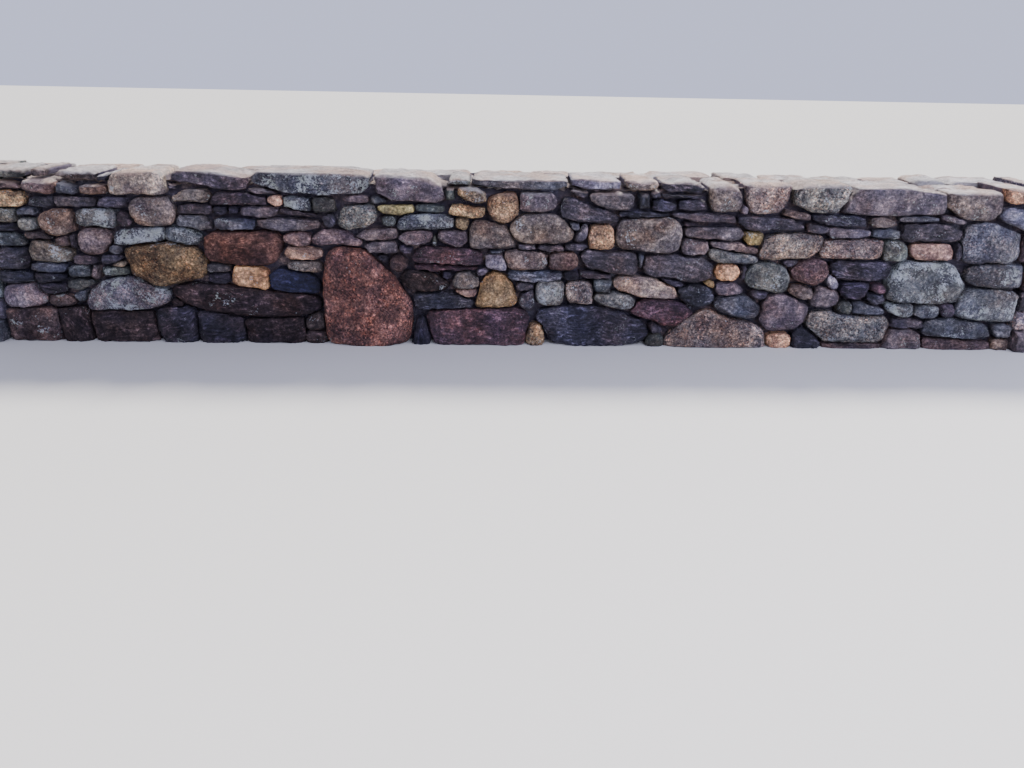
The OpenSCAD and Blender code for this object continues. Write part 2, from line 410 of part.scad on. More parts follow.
// A large stone, rounded over one more ring
module big_stone(p, puff = 1, thin = tail) {
  q = dressed(placed(p[0]));
  b = (bulge + bulge_rate*min(span(q, 0), span(q, 1)))*puff;
  stone(q, [[crown, -b], [(1 + crown)/2 + 0.06, -0.68*b], [1, 0], [thin, face_depth - seat]], half_foot);
}
module small_stones(list, puff = 1, thin = tail) {
  for (p = list) face_stone(placed(p), face_depth, puff, thin);
}

// Courses of the far side, counted from the foot
function bed(j) = crest*pow(j/back_courses, 0.92);
module far_course(j) {
  x = cuts(quoin_right + 6 - half_len, half_len - quoin_left - 6, back_short, back_long, j + 1);
  rotate([0, 0, 180]) for (i = [0:len(x) - 2])
    face_stone(block(x[i] + 3, x[i + 1] - 3, j == 0 ? 0 : bed(j) + pick(3, 11, i, j + 40),
      bed(j + 1) - pick(3, 13, i, j + 60), i, j), back_depth);
}
// Quoins of one end: a long and a short stone in turn, front and back; across runs through the wall
module end_quoins(reach, turn, seed) {
  step = (wall_height - 4)/quoin_courses;
  rotate([0, 0, turn]) for (j = [0:quoin_courses - 1]) let (
      z0 = j == 0 ? 0 : j*step,
      z1 = (j + 1)*step - seat + (j == quoin_courses - 1 ? pick(1, 8, j, seed) : 0),
      out = j == 0 ? footing : pick(2, 9, j, seed), y0 = half_at(z0) + out, y1 = half_at(z1) + out,
      s = (j % 2 == 0 ? 0.36 : -0.3)*half_top, e = 0.18*step,
      b = bulge*(j == 0 ? 1.1 : pick(0.5, 1, j, seed + 3))) {
    stone([[-y0, z0], [-(y0*0.2 + y1*0.8), z1 - e], [-y1 + e, z1], [s - 4, z1], [s - 10, z0]],
      [[0.8, -b], [1, 0], [1, reach - seat]], half_len, 0);
    stone([[s, z0], [s + 6, z1], [y1 - e, z1], [y0*0.2 + y1*0.8, z1 - e], [y0, z0]],
      [[0.8, -b], [1, 0], [1, reach - seat]], half_len, 0);
  }
}

module hearting() {
  color([0.42, 0.40, 0.38]) translate([quoin_left - half_len, 0, 0]) rotate([90, 0, 90])
    linear_extrude(wall_length - quoin_left - quoin_right) polygon([[face_depth - half_foot, 0],
      [half_foot - back_depth, 0], [half_at(crest) - back_depth, crest],
      [face_depth - half_at(crest), crest]]);
}
// Coping of the far side: it lies on the hearting and runs in to the tails of the seen coping
module cope_far() {
  x = cuts(quoin_right + 6 - half_len, half_len - quoin_left - 6, 240, 560, 31);
  h = half_at(crest);
  color([0.56, 0.55, 0.54]) translate([0, 0, crest + seat]) rotate([0, 0, 180]) for (i = [0:len(x) - 2])
    let (q = dressed(block(x[i] + 2, x[i + 1] - 2, 0, plate + pick(-20, 6, i, 34), i, 35)),
      b = 0.7*(bulge + bulge_rate*span(q, 1)))
      stone(q, [[crown + 0.14, -b], [1, 0], [cope_tail, 2*h - face_depth, -1]], h);
}

module cope_cream() { color([0.66, 0.62, 0.54]) big_stone(cope_cream, 0.5, cope_tail); }
module cope_purple() { color([0.33, 0.29, 0.36]) big_stone(cope_purple, 0.4, cope_tail); }
module cope_lichen() { color([0.47, 0.52, 0.5]) big_stone(cope_lichen, 0.4, cope_tail); }
module cope_pink() { color([0.55, 0.48, 0.49]) big_stone(cope_pink, 0.6, cope_tail); }
module cope_blue() { color([0.36, 0.42, 0.5]) big_stone(cope_blue, 0.5, cope_tail); }
module cope_round() { color([0.52, 0.5, 0.45]) big_stone(cope_round, 0.9, cope_tail); }
module cope_granite() { color([0.58, 0.52, 0.53]) big_stone(cope_granite, 0.6, cope_tail); }
module cope_speckled() { color([0.5, 0.5, 0.44]) big_stone(cope_speckled, 0.7, cope_tail); }
module cope_smooth() { color([0.44, 0.43, 0.48]) big_stone(cope_smooth, 0.5, cope_tail); }
module cope_brown() { color([0.53, 0.46, 0.44]) big_stone(cope_brown, 0.5, cope_tail); }
module cope_minor() { color([0.48, 0.46, 0.45]) small_stones(cope_minor, 0.7, cope_tail); }
module boulder_red() { color([0.55, 0.38, 0.34]) big_stone(boulder_red, 0.8); }
module boulder_olive() { color([0.5, 0.42, 0.3]) big_stone(boulder_olive, 0.9); }
module boulder_pale() { color([0.6, 0.6, 0.64]) big_stone(boulder_pale, 0.8); }
module slab_rust() { color([0.48, 0.33, 0.29]) big_stone(slab_rust, 0.6); }
module slab_dark() { color([0.27, 0.25, 0.29]) big_stone(slab_dark, 0.5); }
module slab_blueblack() { color([0.17, 0.2, 0.34]) big_stone(slab_blueblack, 0.6); }
module block_ochre() { color([0.78, 0.62, 0.44]) big_stone(block_ochre, 0.7); }
module slab_red() { color([0.42, 0.3, 0.32]) big_stone(slab_red, 0.8); }
module slab_blue() { color([0.31, 0.33, 0.42]) big_stone(slab_blue, 0.6); }
module boulder_pink() { color([0.62, 0.54, 0.53]) big_stone(boulder_pink, 0.9); }
module boulder_lichen() { color([0.58, 0.6, 0.57]) big_stone(boulder_lichen, 0.9); }
module block_brown() { color([0.6, 0.45, 0.36]) big_stone(block_brown, 0.8); }
module boulder_tan() { color([0.6, 0.54, 0.49]) big_stone(boulder_tan, 0.7); }
module boulder_grey() { color([0.5, 0.47, 0.46]) big_stone(boulder_grey, 1.0); }
module boulder_slate() { color([0.38, 0.38, 0.46]) big_stone(boulder_slate, 0.8); }
module left_a() { color([0.42, 0.38, 0.37]) small_stones(left_a, 0.9); }
module left_b() { color([0.38, 0.37, 0.42]) small_stones(left_b, 0.9); }
module left_c() { color([0.4, 0.39, 0.43]) small_stones(left_c, 0.9); }
module left_d() { color([0.47, 0.42, 0.41]) small_stones(left_d, 0.9); }
module left_e() { color([0.5, 0.48, 0.47]) small_stones(left_e, 0.9); }
module left_f() { color([0.42, 0.41, 0.47]) small_stones(left_f, 0.9); }
module right_a() { color([0.5, 0.44, 0.43]) small_stones(right_a, 0.9); }
module right_b() { color([0.45, 0.46, 0.48]) small_stones(right_b, 0.9); }
module right_c() { color([0.47, 0.45, 0.49]) small_stones(right_c, 0.9); }
module right_d() { color([0.56, 0.51, 0.49]) small_stones(right_d, 0.9); }
module right_e() { color([0.45, 0.42, 0.47]) small_stones(right_e, 0.9); }
module far_low() { color([0.45, 0.43, 0.42]) { far_course(0); far_course(1); } }
module far_middle() { color([0.48, 0.46, 0.46]) { far_course(2); far_course(3); } }
module far_high() { color([0.51, 0.49, 0.49]) for (j = [4:back_courses - 1]) far_course(j); }
module quoins_left() { color([0.50, 0.46, 0.42]) end_quoins(quoin_left, -90, 5); }
module quoins_right() { color([0.46, 0.44, 0.45]) end_quoins(quoin_right, 90, 9); }

cope_cream();
cope_purple();
cope_lichen();
cope_pink();
cope_blue();
cope_round();
cope_granite();
cope_speckled();
cope_smooth();
cope_brown();
cope_minor();
boulder_red();
boulder_olive();
boulder_pale();
slab_rust();
slab_dark();
slab_blueblack();
block_ochre();
slab_red();
slab_blue();
boulder_pink();
boulder_lichen();
block_brown();
boulder_tan();
boulder_grey();
boulder_slate();
left_a();
left_b();
left_c();
left_d();
left_e();
left_f();
right_a();
right_b();
right_c();
right_d();
right_e();
far_low();
far_middle();
far_high();
cope_far();
quoins_left();
quoins_right();
hearting();
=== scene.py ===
import math
import bpy
import numpy as np
from mathutils import Matrix, Vector


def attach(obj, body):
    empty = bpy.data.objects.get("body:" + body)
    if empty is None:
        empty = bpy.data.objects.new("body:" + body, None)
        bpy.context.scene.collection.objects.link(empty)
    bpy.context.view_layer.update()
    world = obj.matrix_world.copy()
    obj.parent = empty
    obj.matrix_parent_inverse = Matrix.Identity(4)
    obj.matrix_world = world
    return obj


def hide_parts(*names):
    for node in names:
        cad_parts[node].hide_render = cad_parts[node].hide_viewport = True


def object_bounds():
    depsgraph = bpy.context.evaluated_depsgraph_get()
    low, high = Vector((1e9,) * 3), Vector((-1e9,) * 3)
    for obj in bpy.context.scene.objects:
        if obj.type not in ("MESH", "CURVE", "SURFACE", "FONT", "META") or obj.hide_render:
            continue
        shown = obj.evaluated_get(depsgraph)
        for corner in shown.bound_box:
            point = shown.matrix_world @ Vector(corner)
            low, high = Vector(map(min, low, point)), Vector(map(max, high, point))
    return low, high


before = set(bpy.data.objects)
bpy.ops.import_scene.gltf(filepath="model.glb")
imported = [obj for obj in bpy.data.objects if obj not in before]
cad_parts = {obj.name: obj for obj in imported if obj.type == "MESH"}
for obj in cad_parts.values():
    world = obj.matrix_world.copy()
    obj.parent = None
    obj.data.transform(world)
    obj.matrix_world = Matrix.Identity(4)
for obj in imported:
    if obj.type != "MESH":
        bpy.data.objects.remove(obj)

cadBox = [list(map(float, corner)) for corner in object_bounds()]

# the camera's place in metres, and how far the view is turned, tipped and rolled in degrees
viewSet = {"place": (-0.145, -5.643, 1.920), "down": 23.0, "roll": 1.15, "turn": 1.6,
           "lens": 27.04, "sensor": 36.0, "clipEnd": 100.0}


# the camera's forward, right and up: turned about Z, tipped down, then rolled about its own axis
def aimCamera(s):
    down, roll, turn = (math.radians(s[key]) for key in ("down", "roll", "turn"))
    ahead = np.array([math.sin(turn)*math.cos(down), math.cos(turn)*math.cos(down), -math.sin(down)])
    side = np.array([math.cos(turn), -math.sin(turn), 0.0])
    rise = np.cross(side, ahead)
    pose = np.eye(4)
    pose[:3, 0] = side*math.cos(roll) + rise*math.sin(roll)
    pose[:3, 1] = rise*math.cos(roll) - side*math.sin(roll)
    pose[:3, 2], pose[:3, 3] = -ahead, s["place"]
    data = bpy.data.cameras.new("wallView")
    data.lens, data.sensor_width, data.clip_end = s["lens"], s["sensor"], s["clipEnd"]
    camera = bpy.data.objects.new("wallView", data)
    bpy.context.collection.objects.link(camera)
    camera.matrix_world = Matrix(pose.tolist())
    bpy.context.scene.camera = camera


# a low sun behind the wall, a wide blue lamp before it, soft air all round, and the pale floor
lightSet = {"sunFrom": (0.35, 1.0, 1.15), "sunPower": 9.0, "sunSpread": 14.0, "sunTint": (1.0, 0.97, 0.92),
            "skyPlace": (5.0, -5.9, 4.4), "skyPower": 1130.0, "skySize": (12.6, 7.0),
            "skyTint": (0.68, 0.72, 1.0), "skyAim": (0.0, 0.0, 0.6),
            "air": (0.69, 0.73, 1.0), "airPower": 1.05,
            "floorTint": (0.53, 0.51, 0.47), "floorRough": 0.9, "floorHalf": 40.0}


# a lamp object from its data, linked and turned so that it shines along the given way
def placeLamp(data, place, way):
    lamp = bpy.data.objects.new(data.name, data)
    bpy.context.collection.objects.link(lamp)
    lamp.location = place
    lamp.rotation_euler = Vector(way).to_track_quat("-Z", "Y").to_euler()


# the flat floor: a square of twice floorHalf at height nought
def addFloor(s):
    half = s["floorHalf"]
    mesh = bpy.data.meshes.new("studioFloor")
    corners = [(-half, -half, 0), (half, -half, 0), (half, half, 0), (-half, half, 0)]
    mesh.from_pydata(corners, [], [(0, 1, 2, 3)])
    floor = bpy.data.objects.new("studioFloor", mesh)
    bpy.context.collection.objects.link(floor)
    matt = bpy.data.materials.new("studioFloor")
    matt.use_nodes = True
    skin = matt.node_tree.nodes["Principled BSDF"]
    skin.inputs["Base Color"].default_value = (*s["floorTint"], 1)
    skin.inputs["Roughness"].default_value = s["floorRough"]
    mesh.materials.append(matt)


# the lights: the sun shines against sunFrom, and the lamp looks from skyPlace to skyAim
def addStudio(s):
    sun = bpy.data.lights.new("lightBehind", "SUN")
    sun.energy, sun.angle, sun.color = s["sunPower"], math.radians(s["sunSpread"]), s["sunTint"]
    placeLamp(sun, (0, 0, 0), -Vector(s["sunFrom"]))
    sky = bpy.data.lights.new("lightFront", "AREA")
    sky.shape, sky.energy, sky.color = "RECTANGLE", s["skyPower"], s["skyTint"]
    sky.size, sky.size_y = s["skySize"]
    placeLamp(sky, s["skyPlace"], Vector(s["skyAim"]) - Vector(s["skyPlace"]))
    world = bpy.data.worlds.new("studioAir")
    world.use_nodes = True
    back = world.node_tree.nodes["Background"]
    back.inputs["Color"].default_value = (*s["air"], 1)
    back.inputs["Strength"].default_value = s["airPower"]
    bpy.context.scene.world = world
    addFloor(s)


aimCamera(viewSet)
addStudio(lightSet)
print("view, light and floor ready")

# rock words: skin, tint, and shares of speckle, layers and lichen, then how square the shape is
rockKinds = {
    "darkSlate": ("slate", (0.036, 0.032, 0.044), 0.10, 0.90, 0.12, 18),
    "slateBlue": ("slate", (0.055, 0.051, 0.064), 0.12, 0.90, 0.18, 18),
    "navy": ("slate", (0.020, 0.021, 0.046), 0.05, 0.55, 0.05, 18),
    "purpleGrey": ("slate", (0.083, 0.070, 0.083), 0.15, 0.60, 0.16, 16),
    "wine": ("slate", (0.100, 0.062, 0.072), 0.50, 0.60, 0.10, 18),
    "blueGrey": ("slate", (0.110, 0.113, 0.128), 0.18, 0.45, 0.28, 14),
    "banded": ("slate", (0.160, 0.165, 0.205), 0.15, 1.00, 0.20, 18),
    "mauve": ("slate", (0.153, 0.131, 0.141), 0.20, 0.35, 0.22, 14),
    "paleGrey": ("slate", (0.205, 0.188, 0.215), 0.25, 0.30, 0.25, 14),
    "umber": ("sand", (0.040, 0.029, 0.029), 0.10, 0.60, 0.14, 18),
    "brownGrey": ("sand", (0.090, 0.070, 0.068), 0.20, 0.35, 0.18, 14),
    "hazel": ("sand", (0.185, 0.155, 0.135), 0.35, 0.20, 0.35, 13),
    "pinkGrey": ("sand", (0.173, 0.135, 0.127), 0.25, 0.25, 0.14, 14),
    "tan": ("sand", (0.208, 0.171, 0.138), 0.35, 0.20, 0.25, 13),
    "rust": ("sand", (0.108, 0.062, 0.049), 0.30, 0.45, 0.08, 16),
    "brick": ("sand", (0.190, 0.124, 0.108), 0.50, 0.30, 0.08, 14),
    "olive": ("sand", (0.145, 0.109, 0.071), 0.80, 0.15, 0.30, 11),
    "ochre": ("sand", (0.290, 0.200, 0.120), 0.35, 0.20, 0.20, 12),
    "orange": ("sand", (0.500, 0.310, 0.190), 0.60, 0.15, 0.08, 13),
    "peach": ("sand", (0.700, 0.405, 0.235), 0.20, 0.25, 0.08, 15),
    "yellow": ("sand", (0.370, 0.300, 0.160), 0.30, 0.15, 0.20, 12),
    "salmon": ("sand", (0.410, 0.265, 0.205), 0.25, 0.20, 0.15, 13),
    "gold": ("granite", (0.370, 0.285, 0.180), 0.90, 0.10, 0.25, 12),
    "amber": ("granite", (0.360, 0.250, 0.165), 0.90, 0.10, 0.12, 12),
    "cream": ("granite", (0.460, 0.385, 0.300), 0.40, 0.20, 0.25, 13),
    "pearl": ("granite", (0.330, 0.300, 0.310), 0.35, 0.15, 0.25, 12),
    "redGranite": ("granite", (0.160, 0.086, 0.072), 1.00, 0.08, 0.05, 11),
    "pinkGranite": ("granite", (0.280, 0.238, 0.214), 1.00, 0.05, 0.25, 12),
    "dimGranite": ("granite", (0.195, 0.154, 0.145), 1.00, 0.08, 0.22, 12),
    "greyGranite": ("granite", (0.190, 0.190, 0.176), 1.00, 0.05, 0.35, 12),
    "darkGranite": ("granite", (0.115, 0.112, 0.125), 0.80, 0.10, 0.45, 12),
    "frost": ("granite", (0.095, 0.100, 0.112), 0.50, 0.35, 0.80, 12),
    "lichenWhite": ("granite", (0.125, 0.132, 0.128), 0.40, 0.15, 0.62, 12),
    "chalk": ("granite", (0.150, 0.144, 0.156), 0.75, 0.20, 0.86, 12),
    "jade": ("granite", (0.160, 0.166, 0.150), 0.50, 0.15, 0.45, 12),
    "greenGrey": ("granite", (0.082, 0.088, 0.081), 0.35, 0.25, 0.40, 12),
}

# each group's stones from left to right, in rock words
rockWords = {
    "cope_cream": "cream", "cope_purple": "purpleGrey", "cope_lichen": "frost", "cope_pink": "mauve",
    "cope_blue": "blueGrey", "cope_round": "hazel", "cope_granite": "pinkGranite",
    "cope_speckled": "greyGranite", "cope_smooth": "mauve", "cope_brown": "hazel",
    "boulder_red": "redGranite", "boulder_olive": "olive", "boulder_pale": "chalk", "slab_rust": "rust",
    "slab_dark": "umber", "slab_blueblack": "navy", "block_ochre": "peach", "slab_red": "wine",
    "slab_blue": "slateBlue", "boulder_pink": "dimGranite", "boulder_lichen": "lichenWhite",
    "block_brown": "amber", "boulder_tan": "hazel", "boulder_grey": "hazel",
    "boulder_slate": "purpleGrey",
    "cope_minor": "greenGrey brownGrey brownGrey darkSlate greenGrey paleGrey tan slateBlue amber",
    "left_a": "pearl brownGrey brownGrey umber frost umber darkSlate umber darkSlate umber umber"
              " brownGrey darkSlate",
    "left_b": "slateBlue darkSlate slateBlue greenGrey darkSlate umber slateBlue jade salmon ochre",
    "left_c": "slateBlue blueGrey frost purpleGrey brownGrey purpleGrey greenGrey tan mauve hazel"
              " brownGrey wine darkSlate purpleGrey",
    "left_d": "frost brownGrey hazel pinkGrey darkSlate pinkGrey blueGrey frost frost pinkGrey salmon"
              " pinkGrey pinkGrey mauve darkSlate purpleGrey mauve greenGrey wine pinkGrey hazel pearl",
    "left_e": "darkSlate jade jade blueGrey hazel lichenWhite purpleGrey hazel blueGrey blueGrey mauve"
              " purpleGrey greyGranite greenGrey frost olive gold",
    "left_f": "brownGrey gold slateBlue pinkGrey blueGrey purpleGrey hazel purpleGrey slateBlue hazel"
              " purpleGrey darkSlate darkSlate purpleGrey mauve mauve salmon brownGrey frost greenGrey"
              " pinkGrey blueGrey yellow greenGrey greenGrey gold amber",
    "right_a": "gold purpleGrey greenGrey wine mauve orange darkSlate greyGranite brownGrey mauve"
               " purpleGrey blueGrey brownGrey lichenWhite blueGrey tan",
    "right_b": "purpleGrey darkGranite jade pinkGranite blueGrey jade cream purpleGrey slateBlue yellow"
               " mauve blueGrey purpleGrey hazel mauve greenGrey darkSlate blueGrey slateBlue wine"
               " frost lichenWhite purpleGrey",
    "right_c": "hazel banded pinkGrey darkSlate purpleGrey purpleGrey blueGrey orange purpleGrey"
               " lichenWhite brick pearl slateBlue darkGranite",
    "right_d": "blueGrey purpleGrey purpleGrey blueGrey purpleGrey mauve mauve mauve pinkGrey jade"
               " yellow purpleGrey pinkGranite pinkGranite jade salmon purpleGrey darkGranite brownGrey",
    "right_e": "mauve purpleGrey purpleGrey mauve slateBlue slateBlue slateBlue slateBlue slateBlue"
               " purpleGrey slateBlue mauve pearl purpleGrey pinkGrey purpleGrey slateBlue paleGrey"
               " hazel blueGrey blueGrey purpleGrey mauve paleGrey",
}

# the words for the far side and the ends, drawn at random
spareWords = ("purpleGrey blueGrey brownGrey slateBlue pinkGrey jade mauve paleGrey hazel frost"
              " greyGranite darkSlate blueGrey pinkGranite brownGrey wine tan").split()

# noise: the hash's multipliers and shifts, and the layers' sideways step and sum
noiseSet = {"stride": (73856093, 19349663, 83492791, 2654435), "mix": 1274126177, "bits": 0xffffffff,
            "low": 0xffff, "shift": (13, 16), "apart": 7.3, "level": 1.6}


# whole-number noise: each grid corner's place is hashed to a value from -1 to 1
def cornerNoise(corner, seed):
    s = noiseSet
    mixed = seed*s["stride"][3]
    for k in range(3):
        mixed = mixed ^ (corner[..., k]*s["stride"][k])
    mixed = mixed & s["bits"]
    mixed = ((mixed ^ (mixed >> s["shift"][0]))*s["mix"]) & s["bits"]
    return ((mixed ^ (mixed >> s["shift"][1])) & s["low"])/(s["low"]/2) - 1.0


# smooth noise: the eight corner values about a point, blended by 3f^2 - 2f^3 along each axis
def softNoise(p, seed):
    low = np.floor(p).astype(np.int64)
    f = p - low
    f = f*f*(3 - 2*f)
    total = np.zeros(p.shape[:-1])
    for k in range(8):
        bit = np.array([k & 1, (k >> 1) & 1, (k >> 2) & 1])
        total += cornerNoise(low + bit, seed)*np.prod(np.where(bit, f, 1 - f), -1)
    return total


# layered noise: each layer is twice as fine and half as strong as the one before
def layerNoise(p, seed, layers):
    s = noiseSet
    return sum(softNoise(p*2.0**k + s["apart"]*k, seed + k)*0.5**k for k in range(layers))/s["level"]


# the loose solids of a CAD node, from left to right: its doubled corners are merged, then the least
# corner number spreads along the triangles until each solid holds one number
def looseSolids(obj):
    mesh = obj.data
    co = np.zeros(len(mesh.vertices)*3)
    mesh.vertices.foreach_get("co", co)
    tri = np.zeros(len(mesh.loops), np.int64)
    mesh.loops.foreach_get("vertex_index", tri)
    co, back = np.unique(np.round(co.reshape(-1, 3), 5), axis=0, return_inverse=True)
    tri = back.reshape(-1)[tri].reshape(-1, 3)
    label = np.arange(len(co))
    while True:
        least = label[tri].min(1)
        fresh = label.copy()
        for k in range(3):
            np.minimum.at(fresh, tri[:, k], least)
        if (fresh == label).all():
            break
        label = fresh
    found = []
    for one in np.unique(label[tri]):
        faces = tri[label[tri[:, 0]] == one]
        own = co[np.unique(faces)]
        a, b, c = (co[faces[:, k]] for k in range(3))
        n = np.cross(b - a, c - a)
        n /= np.maximum(np.linalg.norm(n, axis=1), 1e-12)[:, None]
        found.append({"co": co, "tri": faces, "own": own, "low": own.min(0), "high": own.max(0),
                      "n": n, "off": (n*a).sum(1)})
    return sorted(found, key=lambda solid: solid["own"][:, 0].mean())


# the values of a rock's form, in metres and shares
rockSet = {
    "seed": 7,
    "step": {"front": 0.0170, "far": 0.027, "side": 0.024},  # between the columns of a rock's mesh
    "colsFew": 20, "colsMany": 92, "rowsFew": 10, "rowShare": 0.72,
    "crest": 1.12,  # a stone that reaches over this height is coping
    "centreShare": 0.8, "centreMore": 0.02,  # how far behind the face a rock's centre lies
    "thin": 0.9, "crowdRows": {"side": 1.0, "thin": 1.12, "deep": 1.6},  # rows crowd towards the face
    "chips": 11, "chipCut": (0.942, 0.985), "chipAhead": 0.9,  # flats knocked off, mostly at the face
    "sharp": 4.6, "grow": 1.025,
    "sliver": 0.004, "sameWay": 0.998, "samePlace": 0.003,  # faces left out, and faces that repeat
    "near": 0.06, "far": 0.10, "reach": 0.040, "even": 9,  # where and how far a rock leans to the next
    "sideOn": 0.35, "away": 9.0,  # a neighbour's faces that count, and the distance of none
    "tail": 0.012, "tailPower": 4,  # how far the coping's tails are drawn together
}


# the flat faces about a centre as unit normals and distances; weights share out faces that repeat
def facePlanes(co, tri, centre, s):
    a, b, c = (co[tri[:, k]] - centre for k in range(3))
    n = np.cross(b - a, c - a)
    size = np.linalg.norm(n, axis=1)
    n = n/np.maximum(size, 1e-12)[:, None]
    d = (n*a).sum(1)
    keep = (size > 1e-9) & (d > s["sliver"])  # slivers and hollow corners turn their backs to the centre
    n, d = n[keep], d[keep]
    same = ((n @ n.T) > s["sameWay"]) & (np.abs(d[:, None] - d[None, :]) < s["samePlace"])
    return n, d, 1.0/same.sum(1)


# rows and columns of a globe: row t leans pi*t^bias from the pole, column s turns 2*pi*s
def globe(rows, cols, bias):
    lean = math.pi*(np.arange(1, rows)/rows)**bias
    turn = 2*math.pi*np.arange(cols)/cols
    lean, turn = np.meshgrid(lean, turn, indexing="ij")
    body = np.stack([np.sin(lean)*np.cos(turn), -np.cos(lean), np.sin(lean)*np.sin(turn)], -1)
    return np.vstack([[(0, -1, 0)], body.reshape(-1, 3), [(0, 1, 0)]])


# the globe's faces: four-sided between the rows, three-sided round both poles, all turned outward
def globeFaces(rows, cols):
    def at(row, col):
        return 1 + row*cols + col
    i, j = np.meshgrid(np.arange(rows - 2), np.arange(cols), indexing="ij")
    k = (j + 1) % cols
    quads = np.stack([at(i, j), at(i + 1, j), at(i + 1, k), at(i, k)], -1).reshape(-1, 4)
    j = np.arange(cols)
    k, last = (j + 1) % cols, at(rows - 1, 0)
    tris = np.vstack([np.stack([0*j, at(0, j), at(0, k)], -1),
                      np.stack([0*j + last, at(rows - 2, k), at(rows - 2, j)], -1)])
    return quads, tris


# how far points are from the nearest neighbour's sides: for each neighbour the largest n.x - d, and of
# these the least; only sides that run along the pole axis count
def roomAround(points, own, solids, pole, s):
    low, high = own.min(0) - s["far"], own.max(0) + s["far"]
    room = np.full(len(points), s["away"])
    for other in solids:
        if other["own"] is own or (other["low"] > high).any() or (other["high"] < low).any():
            continue
        side = np.abs(other["n"][:, pole]) < s["sideOn"]
        if side.sum() > 2:
            room = np.minimum(room, (points @ other["n"][side].T - other["off"][side]).max(1))
    return room


# rays from a rock's centre: a globe stretched to the rock's reach, its first pole turned to the face
def rockRays(rows, cols, bias, pole, sign, reach):
    ray = globe(rows, cols, bias)
    if pole == 0:
        ray = ray[:, [1, 0, 2]]
    if sign > 0:
        ray[:, pole] *= -1
    ray = ray*reach
    return ray/np.linalg.norm(ray, axis=1)[:, None]


# the rock's surface: each ray runs grow/g, with g = (sum of w*(n.x/d)^q)^(1/q) over its faces and a
# few random chips, so that a high q follows the faces closely; out is g's own slope
def chippedSurface(solid, centre, ray, pole, sign, square, rng, s):
    n, d, weight = facePlanes(solid["co"], solid["tri"], centre, s)
    chips = rng.normal(size=(s["chips"], 3))
    chips[:, pole] += sign*s["chipAhead"]
    chips /= np.linalg.norm(chips, axis=1)[:, None]
    depth = ((solid["own"] - centre) @ chips.T).max(0)*rng.uniform(*s["chipCut"], s["chips"])
    n, d = np.vstack([n, chips]), np.concatenate([d, np.maximum(depth, s["sliver"])])
    weight = np.concatenate([weight, np.ones(s["chips"])])
    close = np.maximum(ray @ n.T, 0)/d
    g = (weight*close**square).sum(1)**(1/square)
    out = (weight*close**(square - 1)/d) @ n
    return centre + ray/g[:, None]*s["grow"], out/np.linalg.norm(out, axis=1)[:, None]


# how far each point leans sideways to its neighbour: half the room, at most s["reach"], fading out
# between near and far; even steps along the rings keep spikes out of the pockets
def leanToNext(place, own, solids, pole, rows, cols, s):
    room = roomAround(place, own, solids, pole, s)
    fade = np.clip((s["far"] - room)/(s["far"] - s["near"]), 0, 1)
    lean = np.clip(0.5*room, 0, s["reach"])*fade
    rings = lean[1:-1].reshape(rows - 1, cols)
    for turn in range(s["even"]):
        rings = np.minimum(rings, (np.roll(rings, 1, 1) + rings + np.roll(rings, -1, 1))/3)
    lean[1:-1] = rings.ravel()
    return lean


# relief in metres or shares of the rock's size: sizes, strengths and levels of lumps, pits and ledges
reliefSet = {
    "lump": 0.075, "lumpSize": 0.9, "lumpLevel": 0.4, "lumpSeed": 11,
    "rough": 0.0085, "roughSize": 0.032, "roughLevel": 0.5, "roughSeed": 23, "layers": 3,
    "ledge": 0.012, "ledgeStep": (0.016, 0.034), "ledgeWave": 1.2, "ledgeSize": 0.09, "ledgeSeed": 5,
    "ledgeSharp": 2.2, "dipWander": (0.06, 0.20, 0), "shift": 50,
}


# the bedding's direction: across the outline's short way, a little off it
def beddingDip(own, rng, s):
    flat = own[:, [0, 2]] - own[:, [0, 2]].mean(0)
    short = np.linalg.eigh(flat.T @ flat)[1][:, 0]
    dip = np.array([short[0], 0, short[1]])*np.sign(short[1] + 1e-9) + rng.normal(size=3)*s["dipWander"]
    return dip/np.linalg.norm(dip)


# the height over the smooth rock: lump*size*(noise - level) + rough*(fine noise - level) - ledge*notch,
# where the notch is a narrow groove at each whole step along the dip
def rockRelief(inner, size, layers, dip, shift, rng, s):
    lumps = layerNoise(inner/(size*s["lumpSize"]) + shift, s["lumpSeed"], s["layers"])
    rough = layerNoise(inner/s["roughSize"] + shift, s["roughSeed"], s["layers"])
    wave = s["ledgeWave"]*softNoise(inner/s["ledgeSize"] + shift, s["ledgeSeed"])
    step = (inner @ dip)/rng.uniform(*s["ledgeStep"]) + wave + shift[0]
    step = np.abs(step - np.floor(step) - 0.5)*2
    notch = np.clip(1 - step*s["ledgeSharp"], 0, 1)*layers
    return ((lumps - s["lumpLevel"])*s["lump"]*size + (rough - s["roughLevel"])*s["rough"]
            - notch*s["ledge"])


# how a rock is coloured: painted shade behind the face, paler tops from bleaching and painted sunlight, and
# each rock's own tone
weatherSet = {
    "jointShadeStart": 1.9, "jointShadeShare": 0.25, "jointShadeMore": 0.05,
    "topLean": (0.35, 0.4), "topHeight": (1.05, 0.05), "edgeLightHeight": (1.07, 0.03), "edgeTopLight": 0.9,
    "rich": 1.16, "richClip": (0.012, 0.8), "tone": 0.13, "hue": 0.05, "tintClip": (0.01, 0.85),
    "lichen": (0.7, 1.25), "ownPlace": 0.37,
}


# the share of a ramp that starts at span[0] and is span[1] long
def rampShare(value, span):
    return np.clip((value - span[0])/span[1], 0, 1)


# a kind's tint with its colour drawn away from grey by rich, then the rock's own tone and hue
def ownTint(tint, rng, s):
    tint = np.array(tint)
    tint = np.clip(tint.mean() + (tint - tint.mean())*s["rich"], *s["richClip"])
    tone = 1 + rng.uniform(-s["tone"], s["tone"])
    hue = 1 + rng.uniform(-s["hue"], s["hue"], 3)
    return np.append(np.clip(tint*tone*hue, *s["tintClip"]), 1.0)


